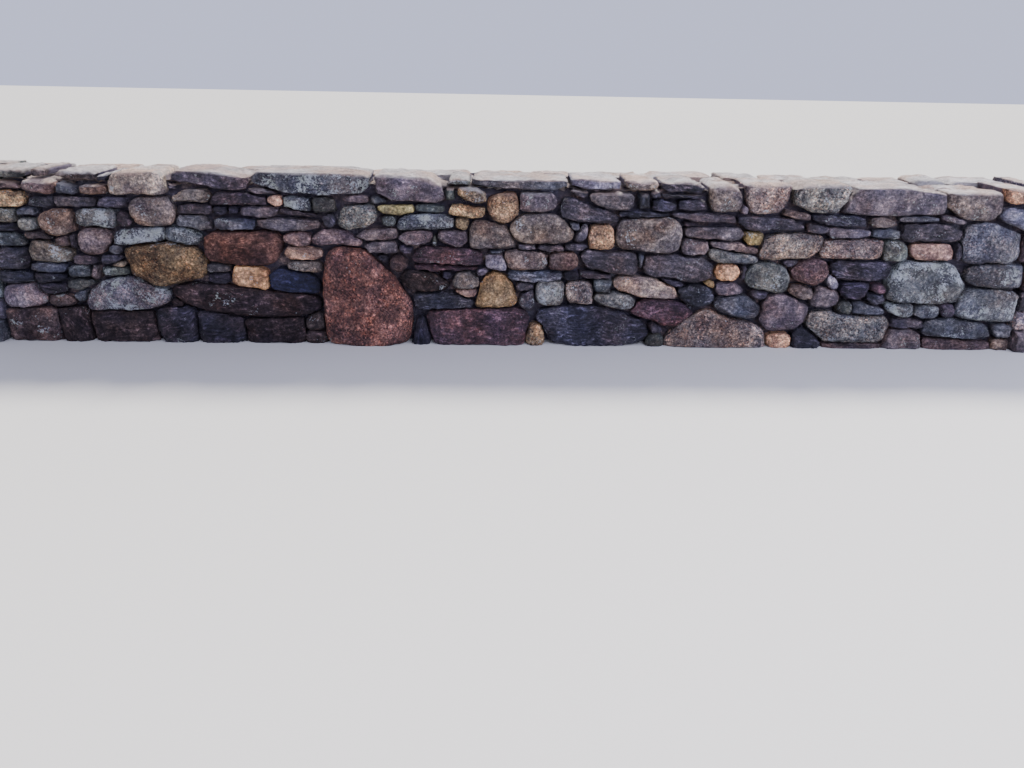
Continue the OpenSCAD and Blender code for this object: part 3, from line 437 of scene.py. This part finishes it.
# one rock over one solid: surface, lean to the neighbours, relief, then what the materials read
def growRock(solid, kind, way, rng, solids):
    s = rockSet
    skin, tint, speckle, layers, lichen, square = rockKinds[kind]
    own, low, high = solid["own"], solid["low"], solid["high"]
    pole, sign = (0 if way == "side" else 1), (1.0 if way == "far" else -1.0)
    half, other = (high - low)/2, [k for k in range(3) if k != pole]
    coping = high[2] > s["crest"]
    near = half[pole] if coping else min(half[pole], s["centreShare"]*min(half[other]) + s["centreMore"])
    face = high[pole] if sign > 0 else low[pole]
    centre, reach = own.mean(0), half.copy()
    centre[pole], reach[pole] = face - sign*near, near
    depth = "side" if way == "side" else "thin" if near > half[pole]*s["thin"] else "deep"
    around = 2*math.pi*math.sqrt((reach[other]**2).mean())
    cols = int(np.clip(around/s["step"][way], s["colsFew"], s["colsMany"]))
    rows = max(s["rowsFew"], int(cols*s["rowShare"]))
    ray = rockRays(rows, cols, s["crowdRows"][depth], pole, sign, reach)
    place, out = chippedSurface(solid, centre, ray, pole, sign, square*s["sharp"], rng, s)
    if way != "side":
        lean = leanToNext(place, own, solids, pole, rows, cols, s)
        spread = out.copy()
        spread[:, pole] = 0
        place = place + spread*lean[:, None]
        if coping:  # the tails of both copings reach for each other
            tail = np.clip((centre[pole] - place[:, pole])*sign/half[pole], 0, 1)**s["tailPower"]
            place[:, pole] -= sign*s["tail"]*tail
    shift = rng.uniform(-reliefSet["shift"], reliefSet["shift"], 3)
    dip = beddingDip(own, rng, reliefSet)
    inner = place - centre
    relief = rockRelief(inner, float(np.sort(half)[:2].mean()), layers, dip, shift, rng, reliefSet)
    place = np.clip(place + out*relief[:, None], np.array(cadBox[0]), np.array(cadBox[1]))
    quads, tris = globeFaces(rows, cols)
    if (pole == 0) != (sign > 0):  # one swap of axes or ends turns the globe inside out
        quads, tris = quads[:, ::-1], tris[:, ::-1]
    w = weatherSet
    # painted shade: the depth value falls from 1 as the surface lies further behind the face, so the colour
    # darkens towards the joints
    behind = (face - place[:, pole])*sign
    jointShade = behind/(w["jointShadeShare"]*min(half[other]) + w["jointShadeMore"])
    shade = np.clip(w["jointShadeStart"] - jointShade, 0, 1) if way != "side" else np.ones(len(place))
    # the top mask: upward faces high on the wall take a paler colour, partly bleaching and partly painted
    # sunlight
    top = rampShare(out[:, 2], w["topLean"])*rampShare(place[:, 2], w["topHeight"])
    # painted light: the far coping's front edges face away from the sun and lie in shade, yet take the pale
    # top colour as if lit
    if coping and way == "far":  # its edges stand free above the front row
        top = np.maximum(top, w["edgeTopLight"]*rampShare(place[:, 2], w["edgeLightHeight"]))
    tint = ownTint(tint, rng, w)
    wear = (speckle, layers, lichen*rng.uniform(*w["lichen"]))
    n = len(place)
    # depth carries the painted shade (1 is unshaded), raised to the top mask where the tops take painted
    # sunlight
    return {"co": place, "quads": quads, "tris": tris, "skin": skin, "tint": np.tile(tint, (n, 1)),
            "coord": inner + shift*w["ownPlace"], "wear": np.tile(wear, (n, 1)),
            "depth": np.maximum(shade, top), "top": top, "dip": np.tile(dip, (n, 1))}


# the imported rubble: how far it reaches past its solid into the joints and up between the coping
# stones, its mesh steps, its small stones, and what the materials read
coreSet = {
    "front": 0.304, "back": 0.130, "rise": 0.045, "along": 0.020, "up": 0.018, "footSteps": 3,
    "cell": (0.15, 0.075), "wander": 0.36, "round": 0.6, "swell": 0.024, "jut": 0.030, "seed": 61,
    "words": ("brownGrey", "purpleGrey", "blueGrey", "darkSlate", "pinkGrey", "slateBlue"),
    "tone": (0.8, 0.5, 97), "ownPlace": 37.0, "wear": (0.3, 0.4, 0.1),
    # painted shade on the rubble: depth is low in its hollows and rises on each small stone's bulge; upward
    # faces take less painted shade and the tops' painted sunlight
    "depth": 0.12, "bulge": 0.3, "crownDepth": 0.7, "crownTopLight": 0.8,
}


# cells round scattered points: distances to the nearest and the next point, and the nearest's own number
def scatterCells(u, v, wander, seed):
    near, second, mark = np.full(u.shape, 9.0), np.full(u.shape, 9.0), np.zeros(u.shape)
    for i in range(-1, 2):
        for j in range(-1, 2):
            cell = np.stack([np.floor(u) + i, np.floor(v) + j, 0*u], -1).astype(np.int64)
            middle = [cell[..., k] + 0.5 + wander*cornerNoise(cell, seed + k) for k in range(2)]
            d = np.hypot(u - middle[0], v - middle[1])
            mark = np.where(d < near, 0.5 + 0.5*cornerNoise(cell, seed + 2), mark)
            second, near = np.minimum(second, np.maximum(d, near)), np.minimum(near, d)
    return near, second, mark


# the core's section as points, outward ways and a running length: its solid's four corners, with the
# front and back pushed out and the head raised, and points in even steps between them
def coreSection(own, s):
    low, high = own.min(0), own.max(0)
    foot, head = own[own[:, 2] < high[2]/2, 1], own[own[:, 2] > high[2]/2, 1]
    crest = high[2] + s["rise"]
    corners = np.array([(foot.min() - s["front"], low[2]), (head.min() - s["front"], crest),
                        (head.max() + s["back"], crest), (foot.max() + s["back"], low[2])])
    outward = np.array([(-1, 0), (0, 1), (1, 0), (0, 0)])  # the foot stays flat
    section, way, path = [], [], []
    for k in range(4):
        span = corners[(k + 1) % 4] - corners[k]
        length = np.linalg.norm(span)
        count = s["footSteps"] if k == 3 else int(length/s["up"])
        share = np.arange(count)/count
        section.append(corners[k] + span*share[:, None])
        way.append(np.tile(outward[k], (count, 1)))
        path.append(k*2.0 + length*share)
    return np.vstack(section), np.vstack(way), np.concatenate(path)


# the rubble: the section carried along the wall; its surface lies swell*(h - 1) + jut*(mark - 1) off
# that, with h = 1 - (1 - (second - near)/round)^2 and a mark from 0 to 1 for each small stone
def growCore(solid, s):
    section, way, path = coreSection(solid["own"], s)
    left, right = solid["low"][0], solid["high"][0]
    rows, cols = int((right - left)/s["along"]), len(section)
    x = np.linspace(left, right, rows - 1)[:, None]
    u, v = x/s["cell"][0] + 0*path, path/s["cell"][1] + 0*x
    near, second, mark = scatterCells(u, v, s["wander"], s["seed"])
    h = 1 - (1 - np.clip((second - near)/s["round"], 0, 1))**2
    move = s["swell"]*(h - 1) + s["jut"]*(mark - 1)
    body = np.stack([x + 0*path, section[:, 0] + way[:, 0]*move, section[:, 1] + way[:, 1]*move], -1)
    middle = section.mean(0)
    place = np.vstack([[(left, *middle)], body.reshape(-1, 3), [(right, *middle)]])
    # painted light: the packing's upward faces between the coping stones get the pale top colour and less
    # painted shade
    crown = np.clip(way[:, 1], 0, 1) + 0*h  # the packing between the coping stones sees the sun
    mark, h, crown = (np.concatenate([[0.5], field.ravel(), [0.5]]) for field in (mark, h, crown))
    tints = np.array([rockKinds[word][1] for word in s["words"]])
    pick = np.minimum((mark*len(tints)).astype(int), len(tints) - 1)
    tone = s["tone"][0] + s["tone"][1]*((mark*s["tone"][2]) % 1)
    quads, tris = globeFaces(rows, cols)
    a, b, c = (place[tris[:cols, k]] for k in range(3))
    if np.cross(b - a, c - a)[:, 0].mean() > 0:  # the first cap looks to -X
        quads, tris = quads[:, ::-1], tris[:, ::-1]
    n = len(place)
    return {"co": place, "quads": quads, "tris": tris, "skin": "sand",
            "tint": np.hstack([tints[pick]*tone[:, None], np.ones((n, 1))]),
            "coord": place + mark[:, None]*s["ownPlace"], "wear": np.tile(s["wear"], (n, 1)),
            "depth": np.maximum(s["depth"] + s["bulge"]*h, s["crownDepth"]*crown),
            "top": s["crownTopLight"]*crown, "dip": np.tile((0.0, 0.0, 1.0), (n, 1))}


# what the materials read at each corner: the attribute's name, its sort and field, and the rock's key
cornerValues = (
    ("stoneTint", "FLOAT_COLOR", "color", "tint"),
    ("stoneCoord", "FLOAT_VECTOR", "vector", "coord"),
    ("stoneWear", "FLOAT_VECTOR", "vector", "wear"),
    ("stoneDip", "FLOAT_VECTOR", "vector", "dip"),
    ("stoneDepth", "FLOAT", "value", "depth"),
    ("stoneTopLight", "FLOAT", "value", "top"),
)


# one mesh of a group's rocks: their corners one after the other, each rock's faces counted on from there
def joinRocks(name, rocks, skins):
    mesh = bpy.data.meshes.new(name)
    start = np.cumsum([0] + [len(r["co"]) for r in rocks])
    co = np.vstack([r["co"] for r in rocks])
    loops, sizes, mats = [], [], []
    order = list(skins)
    for base, r in zip(start, rocks):
        for key, count in (("quads", 4), ("tris", 3)):
            loops.append((r[key] + base).reshape(-1))
            sizes.append(np.full(len(r[key]), count))
            mats.append(np.full(len(r[key]), order.index(r["skin"])))
    loops, sizes, mats = map(np.concatenate, (loops, sizes, mats))
    mesh.vertices.add(len(co))
    mesh.loops.add(len(loops))
    mesh.polygons.add(len(sizes))
    mesh.vertices.foreach_set("co", co.astype(np.float32).reshape(-1))
    mesh.loops.foreach_set("vertex_index", loops.astype(np.int32))
    mesh.polygons.foreach_set("loop_start", np.concatenate([[0], np.cumsum(sizes)[:-1]]).astype(np.int32))
    mesh.polygons.foreach_set("use_smooth", np.ones(len(sizes), bool))
    for key in order:
        mesh.materials.append(skins[key])
    mesh.polygons.foreach_set("material_index", mats.astype(np.int32))
    mesh.update(calc_edges=True)
    for label, sort, field, key in cornerValues:
        values = np.concatenate([r[key] for r in rocks]).astype(np.float32).reshape(-1)
        mesh.attributes.new(label, sort, "POINT").data.foreach_set(field, values)
    obj = bpy.data.objects.new(name, mesh)
    bpy.context.collection.objects.link(obj)
    return obj


# a small builder for node trees: add a node, set its plain inputs, and link the rest
class Tree:
    def __init__(self, tree):
        self.tree = tree

    def add(self, kind, inputs=None, **settings):
        node = self.tree.nodes.new(kind)
        for key, value in settings.items():
            setattr(node, key, value)
        for key, value in (inputs or {}).items():
            self.feed(node.inputs[key], value)
        return node

    def feed(self, port, value):
        if isinstance(value, bpy.types.NodeSocket):
            self.tree.links.new(value, port)
        else:
            port.default_value = value

    def noise(self, vector, scale, detail, rough, output="Fac"):
        return self.add("ShaderNodeTexNoise", {"Vector": vector, "Scale": scale, "Detail": detail,
                                               "Roughness": rough}).outputs[output]

    def ramp(self, value, low, high):
        node = self.add("ShaderNodeMapRange", {"Value": value, "From Min": low, "From Max": high})
        return node.outputs["Result"]

    def maths(self, kind, a, b=0.0):
        return self.add("ShaderNodeMath", {0: a, 1: b}, operation=kind).outputs[0]

    def times(self, a, b):
        return self.maths("MULTIPLY", a, b)

    def vector(self, kind, *values, output=0):
        return self.add("ShaderNodeVectorMath", dict(enumerate(values)), operation=kind).outputs[output]

    def blend(self, share, a, b, kind="MIX"):
        node = self.add("ShaderNodeMix", data_type="RGBA", blend_type=kind)
        ports = {port.identifier: port for port in node.inputs}
        for key, value in (("Factor_Float", share), ("A_Color", a), ("B_Color", b)):
            self.feed(ports[key], value)
        return next(port for port in node.outputs if port.identifier == "Result_Color")

    def tinted(self, mask, strength, colour, tint):  # colour times tint where mask*strength is high
        return self.blend(self.times(mask, strength), colour, tint, "MULTIPLY")


# a node group with named inputs and outputs; make fills it and returns the outputs' sources
def nodeGroup(name, inputs, outputs, make, s):
    tree = bpy.data.node_groups.new(name, "ShaderNodeTree")
    for key, sort in inputs.items():
        tree.interface.new_socket(key, in_out="INPUT", socket_type="NodeSocket" + sort)
    for key, sort in outputs.items():
        tree.interface.new_socket(key, in_out="OUTPUT", socket_type="NodeSocket" + sort)
    t = Tree(tree)
    entry, leave = t.add("NodeGroupInput"), t.add("NodeGroupOutput")
    for key, source in make(t, entry.outputs, s).items():
        tree.links.new(source, leave.inputs[key])
    return tree


# noises are (scale, detail, roughness), ramps (from, to), tints what the colour is multiplied by
mottleSet = {
    "broad": (7.0, 8.0, 0.62), "warmth": (4.5, 4.0, 0.60),
    "fine": (44.0, 7.0, 0.78), "bend": (9.0, 4.0, 0.5),
    "shadeRamp": (0.55, 0.37), "shade": 0.90, "shadeTint": (0.40, 0.37, 0.44, 1),
    "shineRamp": (0.50, 0.66), "shine": 0.68, "shineTint": (2.25, 2.08, 1.90, 1),
    "warmRamp": (0.50, 0.64), "warm": 0.55, "warmTint": (1.20, 0.88, 0.66, 1),
    "coolRamp": (0.48, 0.34), "cool": 0.55, "coolTint": (0.82, 0.92, 1.18, 1),
    "pitRamp": (0.50, 0.38), "pit": 0.90, "pitTint": (0.35, 0.33, 0.36, 1),
    "fleckRamp": (0.52, 0.66), "fleck": 0.90, "fleckTint": (3.0, 2.85, 2.75, 1),
    "crackCells": 4.2, "bendShift": (0.09, 0.09, 0.09),
    "crackRamp": (0.030, 0.0), "crackWhere": (0.42, 0.52),
    "crack": 0.75, "crackTint": (0.30, 0.27, 0.30, 1),
    "fineHigh": 2.0, "broadHigh": 1.8, "crackHigh": 1.2,
}


# slow changes of shade and warmth over a stone, then pits, flecks, and cracks where bent cells meet
def makeMottle(t, i, s):
    broad, hue, fine = (t.noise(i["Place"], *s[key]) for key in ("broad", "warmth", "fine"))
    colour = t.tinted(t.ramp(broad, *s["shadeRamp"]), s["shade"], i["Color"], s["shadeTint"])
    colour = t.tinted(t.ramp(broad, *s["shineRamp"]), s["shine"], colour, s["shineTint"])
    colour = t.tinted(t.ramp(hue, *s["warmRamp"]), s["warm"], colour, s["warmTint"])
    colour = t.tinted(t.ramp(hue, *s["coolRamp"]), s["cool"], colour, s["coolTint"])
    bend = t.noise(i["Place"], *s["bend"], "Color")
    bent = t.vector("ADD", i["Place"], t.vector("MULTIPLY_ADD", i["Place"], bend, s["bendShift"]))
    seam = t.add("ShaderNodeTexVoronoi", {"Vector": bent, "Scale": s["crackCells"]},
                 feature="DISTANCE_TO_EDGE")
    crack = t.times(t.ramp(seam.outputs["Distance"], *s["crackRamp"]), t.ramp(hue, *s["crackWhere"]))
    colour = t.tinted(t.ramp(fine, *s["pitRamp"]), s["pit"], colour, s["pitTint"])
    colour = t.tinted(t.ramp(fine, *s["fleckRamp"]), s["fleck"], colour, s["fleckTint"])
    colour = t.tinted(crack, s["crack"], colour, s["crackTint"])
    form = t.maths("SUBTRACT", t.times(broad, s["broadHigh"]), t.times(crack, s["crackHigh"]))
    return {"Color": colour, "Height": t.maths("ADD", t.times(fine, s["fineHigh"]), form)}


grainSet = {
    "cells": 100.0, "crowd": (10.0, 5.0, 0.6), "crowdRamp": (0.30, 0.62), "least": 0.45, "more": 0.8,
    "darkRamp": (0.55, 0.72), "dark": 0.70, "darkTint": (0.22, 0.21, 0.24, 1),
    "paleRamp": (0.62, 0.80), "pale": 0.55, "paleTint": (2.6, 2.5, 2.4, 1),
    "warmRamp": (0.70, 0.80), "warm": 0.40, "warmTint": (1.7, 1.1, 0.8, 1),
}


# mineral grains: dark, pale and warm specks where small cells pass a limit, thicker in broad patches
def makeGrain(t, i, s):
    cells = t.add("ShaderNodeTexVoronoi", {"Vector": i["Place"], "Scale": s["cells"]}, feature="F1")
    parts = t.add("ShaderNodeSeparateColor", {"Color": cells.outputs["Color"]}).outputs
    crowd = t.ramp(t.noise(i["Place"], *s["crowd"]), *s["crowdRamp"])
    much = t.times(i["Amount"], t.maths("ADD", s["least"], t.times(crowd, s["more"])))
    dark, pale, warm = (t.times(t.ramp(parts[k], *s[key]), much)
                        for k, key in enumerate(("darkRamp", "paleRamp", "warmRamp")))
    colour = t.tinted(dark, s["dark"], i["Color"], s["darkTint"])
    colour = t.tinted(pale, s["pale"], colour, s["paleTint"])
    colour = t.tinted(warm, s["warm"], colour, s["warmTint"])
    return {"Color": colour, "Height": t.maths("SUBTRACT", pale, dark)}


layerSet = {
    "wave": (5.5, 5.0, 0.55), "waveBy": 0.17, "flat": (0.22, 0.22, 0.22), "lines": (55.0, 4.0, 0.68),
    "darkRamp": (0.50, 0.59), "dark": 0.70, "darkTint": (0.38, 0.36, 0.42, 1),
    "paleRamp": (0.46, 0.36), "pale": 0.85, "paleTint": (3.8, 3.7, 3.8, 1),
}


# thin layers: noise pressed flat along the stone's own bedding direction, which waves a little
def makeLayers(t, i, s):
    up = t.vector("DOT_PRODUCT", i["Place"], i["Dip"], output="Value")
    wave = t.maths("ADD", up, t.times(t.noise(i["Place"], *s["wave"]), s["waveBy"]))
    column = t.add("ShaderNodeCombineXYZ", {"Z": wave}).outputs[0]
    spot = t.vector("ADD", t.vector("MULTIPLY", i["Place"], s["flat"]), column)
    lines = t.noise(spot, *s["lines"])
    dark, pale = (t.times(t.ramp(lines, *s[key]), i["Amount"]) for key in ("darkRamp", "paleRamp"))
    colour = t.tinted(dark, s["dark"], i["Color"], s["darkTint"])
    colour = t.tinted(pale, s["pale"], colour, s["paleTint"])
    return {"Color": colour, "Height": t.times(lines, i["Amount"])}


lichenSet = {
    "broad": (9.0, 9.0, 0.70), "ragged": (70.0, 5.0, 0.75), "raggedBy": 0.85,
    "cluster": (4.6, 3.0, 0.5), "clusterRamp": (0.40, 0.60),
    "limit": 0.81, "coverBy": 0.28, "clusterBy": 0.15,
    "edge": (0.0, 0.08), "tone": (12.0, 3.0, 0.55), "toneRamp": (0.40, 0.62),
    "blue": (0.72, 0.76, 0.82, 1), "green": (0.60, 0.64, 0.58, 1), "thick": 0.85,
    "speck": (120.0, 3.0, 0.55), "speckRamp": (0.62, 0.40),
    "speckBy": 0.6, "speckTint": (0.45, 0.45, 0.45, 1),
    "crusts": (38.0, 3.0, 0.6), "crustLimit": 0.78, "crustCover": 0.06, "crustEdge": (0.0, 0.03),
    "crust": 0.60, "crustTint": (0.50, 0.42, 0.20, 1),
}


# lichen: where broad + ragged noise passes limit - cover - cluster, pale and specked, with yellow crusts
def makeLichen(t, i, s):
    ragged = t.maths("SUBTRACT", t.noise(i["Place"], *s["ragged"]), 0.5)
    both = t.maths("ADD", t.noise(i["Place"], *s["broad"]), t.times(ragged, s["raggedBy"]))
    cluster = t.ramp(t.noise(i["Place"], *s["cluster"]), *s["clusterRamp"])
    ease = t.maths("ADD", t.times(i["Cover"], s["coverBy"]), t.times(cluster, s["clusterBy"]))
    mask = t.ramp(t.maths("SUBTRACT", both, t.maths("SUBTRACT", s["limit"], ease)), *s["edge"])
    tone = t.blend(t.ramp(t.noise(i["Place"], *s["tone"]), *s["toneRamp"]), s["blue"], s["green"])
    specks = t.ramp(t.noise(i["Place"], *s["speck"]), *s["speckRamp"])
    specked = t.tinted(specks, s["speckBy"], tone, s["speckTint"])
    pale = t.blend(t.times(mask, s["thick"]), i["Color"], specked)
    least = t.maths("SUBTRACT", s["crustLimit"], t.times(i["Cover"], s["crustCover"]))
    crusts = t.ramp(t.maths("SUBTRACT", t.noise(i["Place"], *s["crusts"]), least), *s["crustEdge"])
    return {"Color": t.blend(t.times(crusts, s["crust"]), pale, s["crustTint"]), "Mask": mask}


topSet = {
    "patch": (8.0, 4.0, 0.6), "patchRamp": (0.25, 0.60), "least": 0.35, "more": 0.5,
    "hue": (2.6, 3.0, 0.5), "hueRamp": (0.42, 0.58),
    "pale": (0.84, 0.77, 0.72, 1), "pink": (0.76, 0.54, 0.42, 1),
    "scuff": (34.0, 6.0, 0.7), "scuffRamp": (0.54, 0.36),
    "scuffBy": 0.7, "scuffTint": (0.42, 0.38, 0.38, 1),
}


# paler tops, partly bleaching and partly painted sunlight: colour goes pale or pink where the top mask is
# high, in broad patches with scuffs
def makeTop(t, i, s):
    patch = t.ramp(t.noise(i["Place"], *s["patch"]), *s["patchRamp"])
    share = t.times(i["Top"], t.maths("ADD", s["least"], t.times(patch, s["more"])))
    sunned = t.blend(t.ramp(t.noise(i["Place"], *s["hue"]), *s["hueRamp"]), s["pale"], s["pink"])
    scuffs = t.ramp(t.noise(i["Place"], *s["scuff"]), *s["scuffRamp"])
    paleTop = t.tinted(scuffs, s["scuffBy"], sunned, s["scuffTint"])
    return {"Color": t.blend(share, i["Color"], paleTop)}


# painted shade in the joints: its ragged edge, ramp, strength and bluish shade colour
jointSet = {"ragged": (30.0, 3.0, 0.55), "raggedBy": 0.4, "jointShadeRamp": (0.50, 0.08), "jointShade": 0.80,
            "jointShadeTint": (0.20, 0.17, 0.22, 1)}


# painted shade in the joints: a dark bluish shade colour takes over where depth + ragged noise is low
def makeJoint(t, i, s):
    ragged = t.times(t.maths("SUBTRACT", t.noise(i["Place"], *s["ragged"]), 0.5), s["raggedBy"])
    jointShade = t.ramp(t.maths("ADD", i["Depth"], ragged), *s["jointShadeRamp"])
    return {"Color": t.blend(t.times(jointShade, s["jointShade"]), i["Color"], s["jointShadeTint"])}


stoneIn = {"Place": "Vector", "Color": "Color"}
stoneOut = {"Color": "Color", "Height": "Float"}
groups = {
    "mottle": nodeGroup("rockMottle", stoneIn, stoneOut, makeMottle, mottleSet),
    "grain": nodeGroup("rockGrain", {**stoneIn, "Amount": "Float"}, stoneOut, makeGrain, grainSet),
    "layers": nodeGroup("rockLayers", {**stoneIn, "Dip": "Vector", "Amount": "Float"}, stoneOut, makeLayers,
                        layerSet),
    "lichen": nodeGroup("rockLichen", {**stoneIn, "Cover": "Float"}, {"Color": "Color", "Mask": "Float"},
                        makeLichen, lichenSet),
    "top": nodeGroup("rockTopLight", {**stoneIn, "Top": "Float"}, {"Color": "Color"}, makeTop, topSet),
    "joint": nodeGroup("rockJointShade", {**stoneIn, "Depth": "Float"}, {"Color": "Color"}, makeJoint, jointSet),
}

# each skin's roughness, bump and shine, and how much each group adds to the one bump height
skinSet = {
    "slate": {"rough": 0.62, "bump": 0.9, "shine": 0.35},
    "sand": {"rough": 0.86, "bump": 0.8, "shine": 0.2},
    "granite": {"rough": 0.80, "bump": 0.9, "shine": 0.3},
}
heightSet = {"grain": 0.3, "layers": 3.2, "lichen": 0.4, "distance": 0.028}


# one stone skin: the groups in a row from mottle to joint, with their heights summed into one bump
def stoneSkin(name, s):
    mat = bpy.data.materials.new(name)
    mat.use_nodes = True
    t = Tree(mat.node_tree)
    skin = mat.node_tree.nodes["Principled BSDF"]

    def read(key, output):
        return t.add("ShaderNodeAttribute", attribute_name=key).outputs[output]

    def use(key, **inputs):
        return t.add("ShaderNodeGroup", inputs, node_tree=groups[key]).outputs

    place = read("stoneCoord", "Vector")
    wear = t.add("ShaderNodeSeparateXYZ", {0: read("stoneWear", "Vector")}).outputs
    mottle = use("mottle", Place=place, Color=read("stoneTint", "Color"))
    grain = use("grain", Place=place, Color=mottle["Color"], Amount=wear[0])
    dip = read("stoneDip", "Vector")
    layers = use("layers", Place=place, Dip=dip, Color=grain["Color"], Amount=wear[1])
    lichen = use("lichen", Place=place, Color=layers["Color"], Cover=wear[2])
    pale = use("top", Place=place, Color=lichen["Color"], Top=read("stoneTopLight", "Fac"))
    last = use("joint", Place=place, Color=pale["Color"], Depth=read("stoneDepth", "Fac"))
    h = heightSet
    height = t.maths("ADD", t.times(grain["Height"], h["grain"]), t.times(layers["Height"], h["layers"]))
    height = t.maths("ADD", mottle["Height"], height)
    height = t.maths("ADD", height, t.times(lichen["Mask"], h["lichen"]))
    bump = t.add("ShaderNodeBump", {"Height": height, "Strength": s["bump"], "Distance": h["distance"]})
    mat.node_tree.links.new(last["Color"], skin.inputs["Base Color"])
    mat.node_tree.links.new(bump.outputs["Normal"], skin.inputs["Normal"])
    skin.inputs["Roughness"].default_value = s["rough"]
    skin.inputs["Specular IOR Level"].default_value = s["shine"]
    return mat


skins = {key: stoneSkin(key + "Skin", s) for key, s in skinSet.items()}
print("materials ready")


# which way a node's stones look: the ends sideways, the far courses and coping back, the rest forward
def stoneWay(name):
    if name.startswith("quoins"):
        return "side"
    return "far" if name.startswith("far") or name == "cope_far" else "front"


# a node's rocks: the rubble for the hearting, otherwise one rock over each loose solid
def nodeRocks(name, solids, everySolid):
    if name == "hearting":
        return [growCore(solids[0], coreSet)]
    rng = np.random.default_rng(rockSet["seed"] + sum(map(ord, name)))
    words = rockWords.get(name, "").split()
    if not words:
        words = [spareWords[k] for k in rng.integers(0, len(spareWords), len(solids))]
    if len(words) != len(solids):
        print("words differ", name, len(words), len(solids))
    return [growRock(solid, words[k % len(words)], stoneWay(name), rng, everySolid)
            for k, solid in enumerate(solids)]


# every node's loose solids, and all of them in one list for a rock to find its neighbours in
found = {name: looseSolids(obj) for name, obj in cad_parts.items()}
everySolid = [solid for name in sorted(found) if name != "hearting" for solid in found[name]]
print("solids", len(everySolid))

total = 0
for name in sorted(found):
    rocks = nodeRocks(name, found[name], everySolid)
    piece = joinRocks(name + "Rock", rocks, skins)
    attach(piece, "root")
    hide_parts(name)
    count = sum(2*len(r["quads"]) + len(r["tris"]) for r in rocks)
    total += count
    print("piece", name, len(rocks), count)
print("triangles in all", total)
